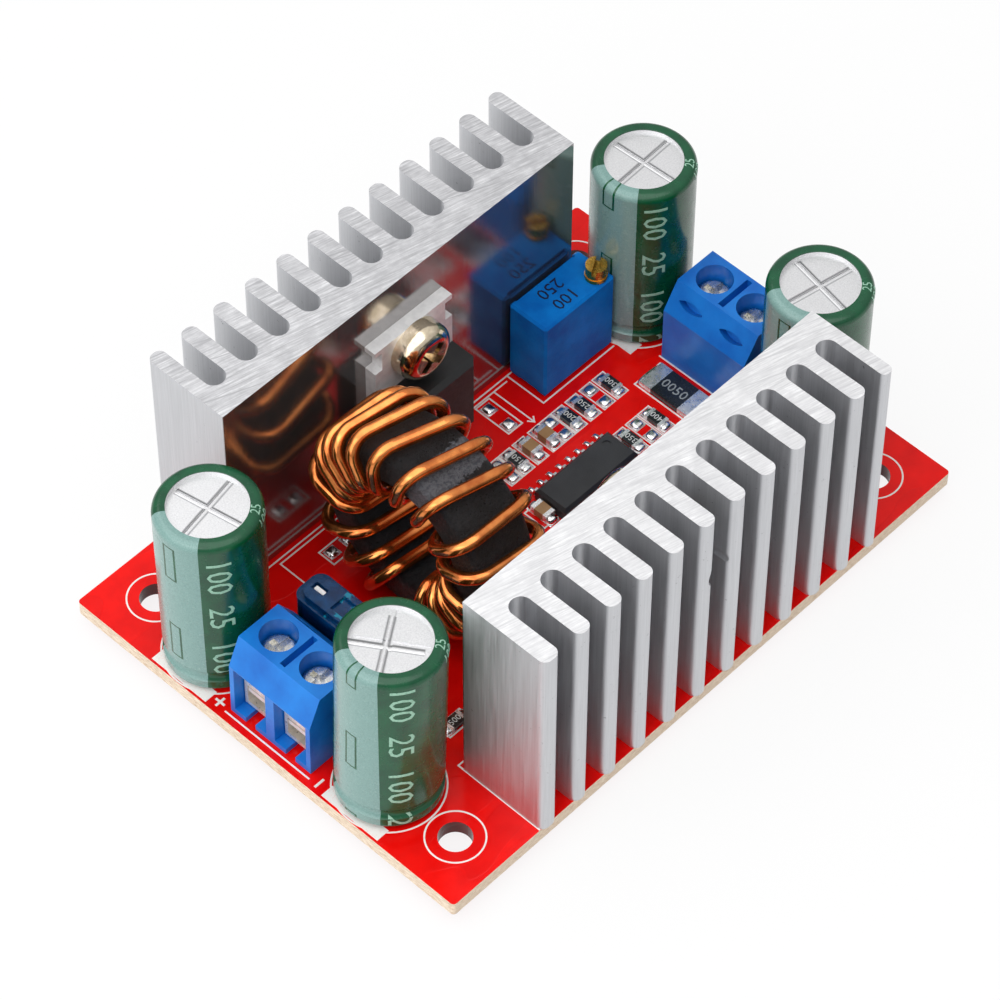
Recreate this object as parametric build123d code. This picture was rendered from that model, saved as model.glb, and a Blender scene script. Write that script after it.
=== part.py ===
from build123d import *
import os
from math import atan2, cos, degrees, hypot, radians, sin, tan

# Boost converter module: a small board with two finned heatsinks, an upright
# wound ring inductor, four electrolytic capacitors and two screw terminals.
# Millimetres, +Z up, +X towards the output end, +Y towards the rear.
# z = 0 is the lower end of the trimmed lead ends under the board.

# Clearances that pieces of one body keep from each other
lead_hole_gap = 0.15
seat_gap = 0.05
neighbour_gap = 0.3
# Running clearances between bodies that move
running_gap = 0.05
cage_gap = 0.15

# Board
lead_stub_length = 1.4
board_thickness = 1.6
board_end_margin = 0.3
board_corner_radius = 0.4
heatsink_overhang = 0.3
mounting_hole_diameter = 3.2
mounting_hole_inset_x = 5.32
mounting_hole_inset_y = 4.93

# Heatsinks: cut from a finned bar, standing on the board on soldered pins
slot_count = 11
slot_pitch = 3.95
slot_width = 2.2
end_fin_thickness = 1.65
heatsink_height = 25.0
heatsink_base_thickness = 2.85
slot_depth = 6.85
fin_tip_radius = 0.8
heatsink_inner_y = 14.6
front_slot_shift = 0.35
heatsink_pin_radius = 0.75
heatsink_pin_depth = 3.0
heatsink_pin_slots_out = 4.5

# Power packages screwed to the heatsinks
package_width = 10.0
package_body_height = 9.15
package_body_bottom = 3.75
package_body_thickness = 4.5
package_chamfer = 0.5
tab_thickness = 1.3
tab_height_above_body = 6.6
tab_notch_depth = 0.9
tab_notch_height = 2.3
tab_notch_below_top = 0.6
tab_embed = 4.0
tab_screw_above_body = 3.8
tab_hole_radius = 1.85
package_lead_pitch = 2.54
package_lead_width = 0.8
package_lead_shoulder_width = 1.3
package_lead_shoulder_length = 1.6
package_lead_thickness = 0.5
package_lead_from_back = 2.4
package_screw_radius = 1.5
package_screw_reach = 2.5
package_screw_head_radius = 3.0
package_screw_head_height = 2.4
package_screw_head_rounding = 1.3
recess_width = 0.85
recess_length = 3.3
recess_depth = 1.3

# Ring core and its winding
core_outer_radius = 10.0
core_radial_thickness = 3.9
core_width = 7.0
core_corner_radius = 0.85
toroid_y = 1.4
toroid_board_gap = 0.08
toroid_package_gap = 0.15
wire_diameter = 1.25
wire_bend_radius = 2.2
lead_bend_radius = 0.6
winding_outer_gap = 0.15
winding_side_gap = 0.5
winding_inner_gap = 0.12
# Where each turn crosses the core edges, in degrees from +Y towards +Z: inner
# edge and outer edge on the input side, outer edge on the output side; the last
# value is how far the turn stands off the outside of the core
turns = (
    (-102, -95, -87, 0),
    (-80, -69, -60, 0),
    (-60, -52, -44, 0),
    (-33, -28, -16, 0),
    (-3, 7, 20, 0.3),
    (12, 28, 40, 0.5),
    (26.5, 38, 51, 0.6),
    (41, 49, 63, 0.7),
    (55.5, 61, 77, 0.6),
    (70.5, 77, 93, 0.2),
    (91, 98, 109, 0),
    (117, 116, 126, 0),
    (143, 142, 143, 0),
    (163, 161, 168, 0),
    (186, 189, 193, 0),
    (203, 207, 211, 0),
    (221, 224, 230, 0),
)
last_inner_angle = 237
end_lead_angle = 246

# Electrolytic capacitors
capacitor_radius = 5.0
capacitor_height = 20.85
capacitor_board_gap = 0.3
capacitor_heatsink_gap = 0.7
capacitor_terminal_gap = 0.82
sleeve_thickness = 0.15
sleeve_shoulder_radius = 0.8
sleeve_foot_radius = 0.4
sleeve_top_opening_radius = 3.75
vent_recess = 0.35
sleeve_bottom_opening_radius = 4.4
neck_height = 1.9
neck_depth = 0.35
neck_radius = 0.9
bung_radius = 4.0
bung_height = 1.6
bung_recess = 0.2
capacitor_lead_spacing = 5.0
capacitor_lead_radius = 0.3
vent_width = 0.34
vent_depth = 0.12
vent_length = 6.9
# The capacitors in turn: side along x, side along y, turn of the cross-shaped
# vent on the can and lean towards the output end, both in degrees
capacitors = {
    "capacitor_1": (-1, 1, 10.5, 0),
    "capacitor_2": (-1, -1, 34, 2.0),
    "capacitor_3": (1, 1, 2.5, 0),
    "capacitor_4": (1, -1, -11, 0),
}

# Two-way screw terminals, sizes from the wire side and from the board
way_pitch = 5.08
terminal_depth = 8.25
terminal_height = 9.75
terminal_shoulder_height = 6.6
terminal_shoulder_inset = 0.1
terminal_top_front = 1.5
terminal_top_length = 4.9
terminal_rear_shoulder_height = 6.8
input_terminal_inset = 1.25
output_terminal_inset = 0.1
wire_opening_width = 4.0
terminal_floor = 0.65
foot_notch_width = 1.2
foot_notch_length = 1.6
screw_axis_from_front = 4.0
screw_ledge_bottom = 6.45
screw_ledge_thickness = 0.45
well_radius = 1.81
divider_groove_width = 0.65
divider_groove_depth = 1.2
divider_groove_front = 1.9
divider_groove_length = 4.15
shoulder_pocket_length = 3.0
shoulder_pocket_width = 1.0
shoulder_pocket_depth = 1.0

# Terminal screws and rising clamp cages
clamp_screw_radius = 1.25
clamp_head_radius = 1.65
clamp_head_height = 1.0
clamp_head_rounding = 0.35
clamp_slot_width = 0.6
clamp_slot_depth = 0.55
clamp_cross_length = 2.2
cage_wall = 0.4
cage_length = 5.6
cage_plate_thickness = 0.45
cage_bar_thickness = 0.7
wire_gap = 1.65
contact_bar_thickness = 0.55
contact_bar_side_gap = 0.1
contact_leg_width = 1.0
contact_leg_thickness = 0.6

# Blade fuse soldered straight into the board
fuse_length = 10.9
fuse_y = 0.4
fuse_width = 3.75
fuse_shoulder_height = 8.3
fuse_corner_radius = 1.1
fuse_cap_length = 10.1
fuse_cap_width = 2.9
fuse_cap_height = 0.6
fuse_cap_radius = 1.25
fuse_pocket_length = 3.0
fuse_pocket_width = 1.8
fuse_pocket_depth = 0.35
fuse_terminal_gap = 0.5
blade_width = 2.8
blade_thickness = 0.8
blade_top_below_shoulder = 0.5
fuse_end_wall = 0.25
fuse_chamber_floor = 2.4
fuse_chamber_roof = 6.6
fuse_chamber_width = 1.7
fuse_link_height = 4.4
fuse_link_thickness = 0.5
probe_slot_length = 1.5
probe_slot_from_blade = 0.15
probe_slot_width = 0.8

# Multi-turn trimmers
trimmer_length = 9.5
trimmer_width = 4.8
trimmer_height = 9.7
trimmer_standoff = 0.3
trimmer_edge_chamfer = 0.25
trimmer_ledge_width = 0.4
trimmer_ledge_depth = 0.5
trimmer_ledge_from_end = 0.8
trimmer_foot_size = 1.0
trimmer_capacitor_gap = 0.12
trimmer_screw_from_end = 1.3
trimmer_screw_from_front = 1.25
trimmer_screw_radius = 1.05
trimmer_flange_radius = 1.12
trimmer_flange_height = 0.4
trimmer_screw_height = 1.2
trimmer_slot_width = 0.45
trimmer_slot_depth = 0.6
trimmer_shank_radius = 0.8
trimmer_shank_depth = 4.0
trimmer_pin_pitch = 2.54
trimmer_pin_radius = 0.25

# Surface-mounted pieces, placed from the middle of the board
pad_thickness = 0.05
controller_x = 9.1
controller_y = -0.1
controller_length = 9.9
controller_width = 3.9
controller_height = 1.45
controller_board_gap = 0.1
controller_edge_chamfer = 0.3
controller_lead_pitch = 1.27
controller_leads_per_side = 8
controller_lead_width = 0.42
controller_lead_thickness = 0.2
controller_lead_foot = 0.6
controller_lead_reach = 1.05
controller_mark_radius = 0.45
controller_mark_depth = 0.12
shunt_x = 22.6
shunt_y = 1.05
shunt_length = 6.3
shunt_width = 3.2
shunt_height = 0.6
shunt_terminal_length = 1.45
chip_length = 2.0
chip_width = 1.25
chip_resistor_height = 0.5
chip_capacitor_height = 0.9
chip_resistor_end = 0.35
chip_capacitor_end = 0.45
chip_pad_length = 1.25
chip_pad_width = 1.3
chip_pad_spacing = 1.95
front_row_y = 0.1
rear_row_y = 6.12
resistors_rear_row = (19.1, 15.35, 13.4, 6.2)
resistors_front_row = (19.0, 15.43)
capacitors_rear_row = (10.2, 8.1)
bare_rear_row = (17.3, 11.75, 4.55)
bare_front_row = (17.3,)
loose_capacitor = (3.4, 0.15)
front_resistor = (-19.4, -10.5)
bare_pad_pairs = (((8.93, 12.4), (8.93, 9.8)), ((-13.35, 11.1), (-11.3, 11.1)))

# Solder joints under the board
solder_height = 0.9
solder_stub_radius = 0.4
solder_skirt = 0.75

# Places that follow from the sizes above
board_bottom = lead_stub_length
board_top = board_bottom + board_thickness
heatsink_length = (slot_count - 1) * slot_pitch + slot_width + 2 * end_fin_thickness
heatsink_depth = heatsink_base_thickness + slot_depth
heatsink_tip_y = heatsink_inner_y + heatsink_depth
capacitor_x = heatsink_length / 2 + capacitor_heatsink_gap + capacitor_radius
capacitor_y = way_pitch + capacitor_terminal_gap + capacitor_radius
board_length = 2 * (capacitor_x + capacitor_radius + board_end_margin)
board_width = 2 * (heatsink_tip_y - heatsink_overhang)
mounting_x = board_length / 2 - mounting_hole_inset_x
mounting_y = board_width / 2 - mounting_hole_inset_y
heatsink_pin_x = heatsink_pin_slots_out * slot_pitch
heatsink_pin_y = heatsink_inner_y + heatsink_base_thickness / 2

core_inner_radius = core_outer_radius - core_radial_thickness
toroid_half_space = core_width / 2 + winding_side_gap + wire_diameter
toroid_x = -package_width / 2 - toroid_package_gap - toroid_half_space
toroid_z = board_top + toroid_board_gap + wire_diameter + winding_outer_gap + core_outer_radius
wire_radius = wire_diameter / 2
wire_side = core_width / 2 + wire_radius + winding_side_gap
wire_outer = core_outer_radius + wire_radius + winding_outer_gap
wire_inner = core_inner_radius - wire_radius - winding_inner_gap

input_front = board_length / 2 - input_terminal_inset
output_front = board_length / 2 - output_terminal_inset
cage_width = wire_opening_width - 2 * cage_gap
cage_bottom = terminal_floor + cage_gap
contact_bar_bottom = cage_bottom + cage_plate_thickness + wire_gap
contact_bar_top = contact_bar_bottom + contact_bar_thickness
cage_bar_bottom = contact_bar_top + cage_gap
cage_bar_top = cage_bar_bottom + cage_bar_thickness
cage_front = screw_axis_from_front - cage_length / 2
cage_rear = screw_axis_from_front + cage_length / 2
contact_leg_front = cage_rear + cage_gap
contact_leg_rear = contact_leg_front + contact_leg_thickness
screw_seat = screw_ledge_bottom + screw_ledge_thickness
contact_bar_width = cage_width - 2 * cage_wall - 2 * contact_bar_side_gap

fuse_x = -input_front + terminal_depth + fuse_terminal_gap + fuse_width / 2
blade_y = fuse_length / 2 - fuse_end_wall - blade_width / 2
trimmer_x = capacitor_x - capacitor_radius - trimmer_capacitor_gap - trimmer_length / 2
trimmer_y = heatsink_inner_y - neighbour_gap - trimmer_width / 2
trimmer_screw_x = trimmer_x + trimmer_length / 2 - trimmer_screw_from_end
trimmer_screw_y = trimmer_y - trimmer_width / 2 + trimmer_screw_from_front

package_front_y = heatsink_inner_y - package_body_thickness
tab_front_y = heatsink_inner_y - tab_thickness
package_lead_y = heatsink_inner_y - package_lead_from_back
package_base_z = board_top + package_body_bottom
package_top_z = package_base_z + package_body_height
tab_top_z = package_top_z + tab_height_above_body
package_screw_z = package_top_z + tab_screw_above_body


def block(x0, x1, y0, y1, z0, z1):
    middle = Pos((x0 + x1) / 2, (y0 + y1) / 2, (z0 + z1) / 2)
    return middle * Box(x1 - x0, y1 - y0, z1 - z0)


def centred_block(x, y, z0, length, width, height):
    return Pos(x, y, z0 + height / 2) * Box(length, width, height)


def post(x, y, z0, z1, radius):
    return Pos(x, y, (z0 + z1) / 2) * Cylinder(radius, z1 - z0)


def rod_along_y(x, z, y0, y1, radius):
    return Pos(x, (y0 + y1) / 2, z) * Rot(90, 0, 0) * Cylinder(radius, y1 - y0)


def group(pieces):
    return Compound(children=[solid for piece in pieces for solid in piece.solids()])


def to_front(piece):
    return mirror(piece, about=Plane.XZ)


def both_sides(piece):
    return group([piece, to_front(piece)])


# Where every lead goes through the board: x, y, half length along x, half width
# along y, or a radius alone for a round lead
def terminal_leg_places():
    leg_x = (contact_leg_front + contact_leg_rear) / 2
    places = []
    for way_y in (-way_pitch / 2, way_pitch / 2):
        places.append((-input_front + leg_x, way_y))
        places.append((output_front - leg_x, way_y))
    return places


def square_lead_places():
    places = []
    for side in (-1, 1):
        for step in (-1, 0, 1):
            x = step * package_lead_pitch
            places.append((x, side * package_lead_y, package_lead_width, package_lead_thickness))
        places.append((fuse_x, fuse_y + side * blade_y, blade_thickness, blade_width))
    for x, y in terminal_leg_places():
        places.append((x, y, contact_leg_thickness, contact_leg_width))
    return places


def ring_point(offset_x, radius, angle):
    y = toroid_y + radius * cos(radians(angle))
    z = toroid_z + radius * sin(radians(angle))
    return Vector(toroid_x + offset_x, y, z)


def winding_lead_places():
    start = ring_point(-wire_side, wire_outer, turns[0][1])
    end = ring_point(-wire_side, wire_outer, end_lead_angle)
    return [(start.X, start.Y), (end.X, end.Y)]


def trimmer_pin_places():
    return [
        (trimmer_x + step * trimmer_pin_pitch, side * trimmer_y)
        for side in (-1, 1)
        for step in (-1, 0, 1)
    ]


def capacitor_places():
    return [(side_x * capacitor_x, side_y * capacitor_y) for side_x, side_y, *_ in capacitors.values()]


def round_lead_places():
    places = []
    for x, y in capacitor_places():
        for side in (-1, 1):
            places.append((x + side * capacitor_lead_spacing / 2, y, capacitor_lead_radius))
    for x, y in winding_lead_places():
        places.append((x, y, wire_radius))
    for x, y in trimmer_pin_places():
        places.append((x, y, trimmer_pin_radius))
    for side_x in (-1, 1):
        for side_y in (-1, 1):
            x, y = side_x * heatsink_pin_x, side_y * heatsink_pin_y
            places.append((x, y, heatsink_pin_radius))
    return places


# Board and what is soldered under it
def circuit_board():
    outline = RectangleRounded(board_length, board_width, board_corner_radius)
    board = Pos(0, 0, board_bottom) * extrude(outline, board_thickness)
    holes = []
    for side_x in (-1, 1):
        for side_y in (-1, 1):
            holes.append(
                post(
                    side_x * mounting_x,
                    side_y * mounting_y,
                    0,
                    2 * board_top,
                    mounting_hole_diameter / 2,
                )
            )
    for x, y, radius in round_lead_places():
        holes.append(post(x, y, 0, 2 * board_top, radius + lead_hole_gap))
    for x, y, length, width in square_lead_places():
        size_x = length + 2 * lead_hole_gap
        size_y = width + 2 * lead_hole_gap
        holes.append(centred_block(x, y, 0, size_x, size_y, 2 * board_top))
    return board - holes


def solder_joint(x, y, lead_radius):
    stub = max(lead_radius, solder_stub_radius)
    skirt = lead_radius + solder_skirt
    top = board_bottom
    waist = top - solder_height
    bend = (stub + (skirt - stub) / 4, top - solder_height / 3)
    line = Polyline((stub, waist), (stub, 0), (0, 0), (0, top), (skirt, top))
    line += ThreePointArc((skirt, top), bend, (stub, waist))
    return Pos(x, y, 0) * revolve(Plane.XZ * make_face(line), Axis.Z)


def solder_joints():
    joints = [solder_joint(x, y, radius) for x, y, radius in round_lead_places()]
    for x, y, length, width in square_lead_places():
        joints.append(solder_joint(x, y, hypot(length, width) / 2))
    return group(joints)


# Heatsinks
def heatsink(slot_shift):
    half = heatsink_length / 2
    middle_y = heatsink_inner_y + heatsink_depth / 2
    profile = Pos(0, middle_y) * Rectangle(heatsink_length, heatsink_depth)
    root_y = heatsink_tip_y - slot_depth + slot_width / 2
    for number in range(slot_count):
        x = (number - (slot_count - 1) / 2) * slot_pitch + slot_shift
        mouth = heatsink_tip_y - root_y + slot_width
        profile -= Pos(x, root_y) * Circle(slot_width / 2)
        profile -= Pos(x, root_y + mouth / 2) * Rectangle(slot_width, mouth)
    edges = [-half, half]
    for number in range(slot_count):
        x = (number - (slot_count - 1) / 2) * slot_pitch + slot_shift
        edges += [x - slot_width / 2, x + slot_width / 2]
    edges.sort()
    for left, right in zip(edges[::2], edges[1::2]):
        tips = [
            vertex
            for vertex in profile.vertices()
            if vertex.Y > heatsink_tip_y - seat_gap
            and min(abs(vertex.X - left), abs(vertex.X - right)) < seat_gap
        ]
        profile = fillet(tips, min(fin_tip_radius, 0.45 * (right - left)))
    body = Pos(0, 0, board_top) * extrude(profile, heatsink_height)
    body -= rod_along_y(
        0,
        package_screw_z,
        heatsink_inner_y - seat_gap,
        heatsink_tip_y,
        package_screw_radius + seat_gap,
    )
    for side in (-1, 1):
        top = board_top + heatsink_pin_depth
        body -= post(side * heatsink_pin_x, heatsink_pin_y, 0, top, heatsink_pin_radius)
    return body


def heatsink_pins():
    pins = []
    for side in (-1, 1):
        top = board_top + heatsink_pin_depth
        x = side * heatsink_pin_x
        pins.append(post(x, heatsink_pin_y, board_bottom, top, heatsink_pin_radius))
    return both_sides(group(pins))


# Power packages
def package_tab():
    half = package_width / 2
    bottom = package_top_z - tab_embed
    tab = block(-half, half, tab_front_y, heatsink_inner_y, bottom, tab_top_z)
    notch_top = tab_top_z - tab_notch_below_top
    notch_bottom = notch_top - tab_notch_height
    for side in (-1, 1):
        edge = side * half
        inner = side * (half - tab_notch_depth)
        x0, x1 = min(edge, inner), max(edge, inner)
        tab -= block(x0, x1, tab_front_y, heatsink_inner_y, notch_bottom, notch_top)
    tab -= rod_along_y(0, package_screw_z, tab_front_y, heatsink_inner_y, tab_hole_radius)
    pieces = [tab]
    shoulder = package_base_z - package_lead_shoulder_length
    for step in (-1, 0, 1):
        x = step * package_lead_pitch
        lead = centred_block(
            x,
            package_lead_y,
            board_bottom,
            package_lead_width,
            package_lead_thickness,
            package_base_z - board_bottom,
        )
        lead += centred_block(
            x,
            package_lead_y,
            shoulder,
            package_lead_shoulder_width,
            package_lead_thickness,
            package_lead_shoulder_length,
        )
        pieces.append(lead)
    return group(pieces)


def package_body():
    half = package_width / 2
    body = block(-half, half, package_front_y, heatsink_inner_y, package_base_z, package_top_z)
    front_edges = [
        edge
        for edge in body.edges()
        if edge.center().Y < package_front_y + seat_gap
    ]
    body = chamfer(front_edges, package_chamfer)
    pocket_bottom = package_top_z - tab_embed
    body -= block(-half, half, tab_front_y, heatsink_inner_y, pocket_bottom, package_top_z)
    return body


def package_screw():
    head_front = tab_front_y - package_screw_head_height
    head = rod_along_y(0, package_screw_z, head_front, tab_front_y, package_screw_head_radius)
    rim = [edge for edge in head.edges() if edge.center().Y < head_front + seat_gap]
    head = fillet(rim, package_screw_head_rounding)
    shank_end = heatsink_inner_y + package_screw_reach
    screw = head + rod_along_y(0, package_screw_z, tab_front_y, shank_end, package_screw_radius)
    for turn in (0, 90):
        arm = Box(recess_length, 2 * recess_depth, recess_width)
        screw -= Pos(0, head_front, package_screw_z) * Rot(0, turn + 45, 0) * arm
    return screw


# Ring core and winding
def toroid_core():
    half = core_width / 2
    middle = (core_outer_radius + core_inner_radius) / 2
    section = Pos(middle, 0) * RectangleRounded(
        core_radial_thickness,
        core_width,
        min(core_corner_radius, 0.4 * core_radial_thickness),
    )
    ring = revolve(Plane.XZ * section, Axis.Z)
    return Pos(toroid_x, toroid_y, toroid_z) * Rot(0, 90, 0) * ring


def winding_points():
    first = ring_point(-wire_side, wire_outer, turns[0][1])
    points = [Vector(first.X, first.Y, board_bottom), first]
    following = [turn[0] for turn in turns[1:]] + [last_inner_angle]
    for number, (inner, outer, outer_far, lift) in enumerate(turns):
        if number:
            points.append(ring_point(-wire_side, wire_inner, inner))
            points.append(ring_point(-wire_side, wire_outer + lift, outer))
        points.append(ring_point(wire_side, wire_outer + lift, outer_far))
        points.append(ring_point(wire_side, wire_inner, (inner + following[number]) / 2))
    points.append(ring_point(-wire_side, wire_inner, last_inner_angle))
    last = ring_point(-wire_side, wire_outer, end_lead_angle)
    points += [last, Vector(last.X, last.Y, board_bottom)]
    return points


def winding_bend_radii(points):
    radii = []
    for before, corner, after in zip(points, points[1:], points[2:]):
        back, ahead = before - corner, after - corner
        half_angle = radians(back.get_angle(ahead)) / 2
        room = 0.49 * min(back.length, ahead.length) * tan(half_angle)
        radii.append(min(wire_bend_radius, room))
    radii[0] = min(lead_bend_radius, radii[0])
    return radii


def toroid_winding():
    points = winding_points()
    path = FilletPolyline(*points, radius=winding_bend_radii(points))
    start = Plane(origin=path @ 0, z_dir=path % 0)
    return sweep(start * Circle(wire_radius), path=path)


# Electrolytic capacitors
def can_outline(radius, bottom, top, shoulder, foot, groove):
    face = Pos(radius / 2, (bottom + top) / 2) * Rectangle(radius, top - bottom)
    corners = face.vertices().sort_by(Axis.X)[-2:].sort_by(Axis.Y)
    face = fillet(corners[-1], shoulder)
    corners = face.vertices().filter_by(lambda v: v.X > radius - seat_gap).sort_by(Axis.Y)
    face = fillet(corners[0], foot)
    groove_x = capacitor_radius - neck_depth + neck_radius
    face -= Pos(groove_x, neck_height + capacitor_board_gap) * Circle(groove)
    return revolve(Plane.XZ * face, Axis.Z)


def capacitor_can_and_sleeve(vent_angle):
    bottom = capacitor_board_gap
    top = bottom + capacitor_height
    outer = can_outline(
        capacitor_radius, bottom, top, sleeve_shoulder_radius, sleeve_foot_radius, neck_radius
    )
    can_top = top - sleeve_thickness
    can_bottom = bottom + sleeve_thickness
    can = can_outline(
        capacitor_radius - sleeve_thickness,
        can_bottom,
        can_top,
        sleeve_shoulder_radius - sleeve_thickness,
        sleeve_foot_radius - sleeve_thickness,
        neck_radius + sleeve_thickness,
    )
    sleeve = outer - can
    sleeve -= post(0, 0, top / 2, 2 * top, sleeve_top_opening_radius)
    sleeve -= post(0, 0, 0, top / 2, sleeve_bottom_opening_radius)
    can -= post(0, 0, 0, can_bottom + bung_recess + bung_height, bung_radius)
    vent_z = can_top - vent_recess
    can -= post(0, 0, vent_z, 2 * top, sleeve_top_opening_radius)
    for turn in (0, 90):
        arm = Box(vent_length, vent_width, 2 * vent_depth)
        can -= Pos(0, 0, vent_z) * Rot(0, 0, vent_angle + turn) * arm
    return can, sleeve


def capacitor_bung():
    bottom = capacitor_board_gap + sleeve_thickness + bung_recess
    bung = post(0, 0, bottom, bottom + bung_height, bung_radius)
    for side in (-1, 1):
        x = side * capacitor_lead_spacing / 2
        bung -= post(x, 0, 0, bottom + bung_height, capacitor_lead_radius)
    return bung


def capacitor_leads():
    top = capacitor_board_gap + sleeve_thickness + bung_recess + bung_height
    leads = []
    for side in (-1, 1):
        x = side * capacitor_lead_spacing / 2
        leads.append(post(x, 0, 2 * (board_bottom - board_top), top, capacitor_lead_radius))
    return group(leads)


def trim_at_board_bottom(leads):
    below = block(-board_length, board_length, -board_width, board_width, -board_length, board_bottom)
    return group(lead - below for lead in leads.solids())


# Screw terminals, drawn with the wire side at x = 0 and the board at z = 0
def terminal_housing():
    rear = terminal_depth
    top_rear = terminal_top_front + terminal_top_length
    outline = Polyline(
        (0, 0),
        (terminal_shoulder_inset, terminal_shoulder_height),
        (terminal_top_front, terminal_height),
        (top_rear, terminal_height),
        (rear, terminal_rear_shoulder_height),
        (rear, 0),
        close=True,
    )
    body = extrude(Plane.XZ * make_face(outline), way_pitch, both=True)
    half_opening = wire_opening_width / 2
    cavity_rear = contact_leg_rear + cage_gap
    rise = terminal_height - terminal_rear_shoulder_height
    run = rear - top_rear
    tilt = degrees(atan2(rise, run))
    lens_radius = (shoulder_pocket_length**2 + shoulder_pocket_width**2) / (
        4 * shoulder_pocket_width
    )
    for way_y in (-way_pitch / 2, way_pitch / 2):
        low, high = way_y - half_opening, way_y + half_opening
        body -= block(-cage_gap, cavity_rear, low, high, terminal_floor, screw_ledge_bottom)
        body -= post(screw_axis_from_front, way_y, screw_seat, 2 * terminal_height, well_radius)
        bore = clamp_screw_radius + running_gap
        body -= post(screw_axis_from_front, way_y, terminal_floor, terminal_height, bore)
        notch = foot_notch_width / 2
        body -= block(
            -cage_gap, foot_notch_length, way_y - notch, way_y + notch, -cage_gap, terminal_floor
        )
        leg = contact_leg_width / 2 + seat_gap
        body -= block(
            contact_leg_front - seat_gap,
            contact_leg_rear + seat_gap,
            way_y - leg,
            way_y + leg,
            -cage_gap,
            terminal_floor,
        )
        offset = lens_radius - shoulder_pocket_width / 2
        disc = Cylinder(lens_radius, 2 * shoulder_pocket_depth)
        lens = (Pos(offset, 0, 0) * disc) & (Pos(-offset, 0, 0) * disc)
        middle_x, middle_z = (top_rear + rear) / 2, terminal_height - rise / 2
        body -= Pos(middle_x, way_y, middle_z) * Rot(0, tilt, 0) * lens
    groove = divider_groove_width / 2
    body -= block(
        divider_groove_front,
        divider_groove_front + divider_groove_length,
        -groove,
        groove,
        terminal_height - divider_groove_depth,
        2 * terminal_height,
    )
    return body


def terminal_contacts():
    contacts = []
    half_bar = contact_bar_width / 2
    half_leg = contact_leg_width / 2
    through_board = board_bottom - board_top
    for way_y in (-way_pitch / 2, way_pitch / 2):
        bar = block(
            cage_front,
            contact_leg_rear,
            way_y - half_bar,
            way_y + half_bar,
            contact_bar_bottom,
            contact_bar_top,
        )
        leg = block(
            contact_leg_front,
            contact_leg_rear,
            way_y - half_leg,
            way_y + half_leg,
            through_board,
            contact_bar_top,
        )
        contacts.append(bar + leg)
    return group(contacts)


def clamp_screw(way_y):
    head_bottom = screw_seat + running_gap
    head_top = head_bottom + clamp_head_height
    head = post(screw_axis_from_front, way_y, head_bottom, head_top, clamp_head_radius)
    rim = [edge for edge in head.edges() if edge.center().Z > head_top - running_gap]
    head = fillet(rim, clamp_head_rounding)
    shank_end = contact_bar_top + cage_gap
    screw = head + post(screw_axis_from_front, way_y, shank_end, head_bottom, clamp_screw_radius)
    at_top = Pos(screw_axis_from_front, way_y, head_top)
    slot = Box(2 * clamp_head_radius, clamp_slot_width, 2 * clamp_slot_depth)
    cross = Box(clamp_slot_width, clamp_cross_length, 2 * clamp_slot_depth)
    return screw - at_top * slot - at_top * cross


def clamp_cage(way_y):
    half = cage_width / 2
    cage = block(cage_front, cage_rear, way_y - half, way_y + half, cage_bottom, cage_bar_top)
    hollow = half - cage_wall
    cage -= block(
        cage_front,
        cage_rear,
        way_y - hollow,
        way_y + hollow,
        cage_bottom + cage_plate_thickness,
        cage_bar_bottom,
    )
    bore = clamp_screw_radius + running_gap
    cage -= post(screw_axis_from_front, way_y, cage_bar_bottom, cage_bar_top, bore)
    return cage


def at_input(piece):
    return Pos(-input_front, 0, board_top) * piece


def at_output(piece):
    return Pos(output_front, 0, board_top) * Rot(0, 0, 180) * piece


# Blade fuse
def fuse_body():
    low = board_top + seat_gap
    shoulder = board_top + fuse_shoulder_height
    outline = RectangleRounded(fuse_width, fuse_length, fuse_corner_radius)
    body = Pos(fuse_x, fuse_y, low) * extrude(outline, shoulder - low)
    cap = RectangleRounded(fuse_cap_width, fuse_cap_length, fuse_cap_radius)
    body += Pos(fuse_x, fuse_y, shoulder) * extrude(cap, fuse_cap_height)
    body -= centred_block(
        fuse_x,
        fuse_y,
        shoulder + fuse_cap_height - fuse_pocket_depth,
        fuse_pocket_width,
        fuse_pocket_length,
        fuse_cap_height,
    )
    blade_top = shoulder - blade_top_below_shoulder + seat_gap
    for side in (-1, 1):
        body -= centred_block(
            fuse_x,
            fuse_y + side * blade_y,
            low,
            blade_thickness + 2 * seat_gap,
            blade_width + 2 * seat_gap,
            blade_top - low,
        )
        probe_y = fuse_y + side * (blade_y - probe_slot_from_blade)
        body -= centred_block(
            fuse_x,
            probe_y,
            blade_top - seat_gap,
            probe_slot_width,
            probe_slot_length,
            fuse_shoulder_height,
        )
    chamber_bottom = board_top + fuse_chamber_floor
    body -= centred_block(
        fuse_x,
        fuse_y,
        chamber_bottom,
        fuse_chamber_width,
        2 * blade_y,
        fuse_chamber_roof - fuse_chamber_floor,
    )
    return body


def fuse_element():
    blade_top = board_top + fuse_shoulder_height - blade_top_below_shoulder
    link_bottom = board_top + fuse_link_height
    element = centred_block(
        fuse_x, fuse_y, link_bottom, fuse_link_thickness, 2 * blade_y, fuse_link_thickness
    )
    for side in (-1, 1):
        element += centred_block(
            fuse_x,
            fuse_y + side * blade_y,
            board_bottom,
            blade_thickness,
            blade_width,
            blade_top - board_bottom,
        )
    return element


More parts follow.
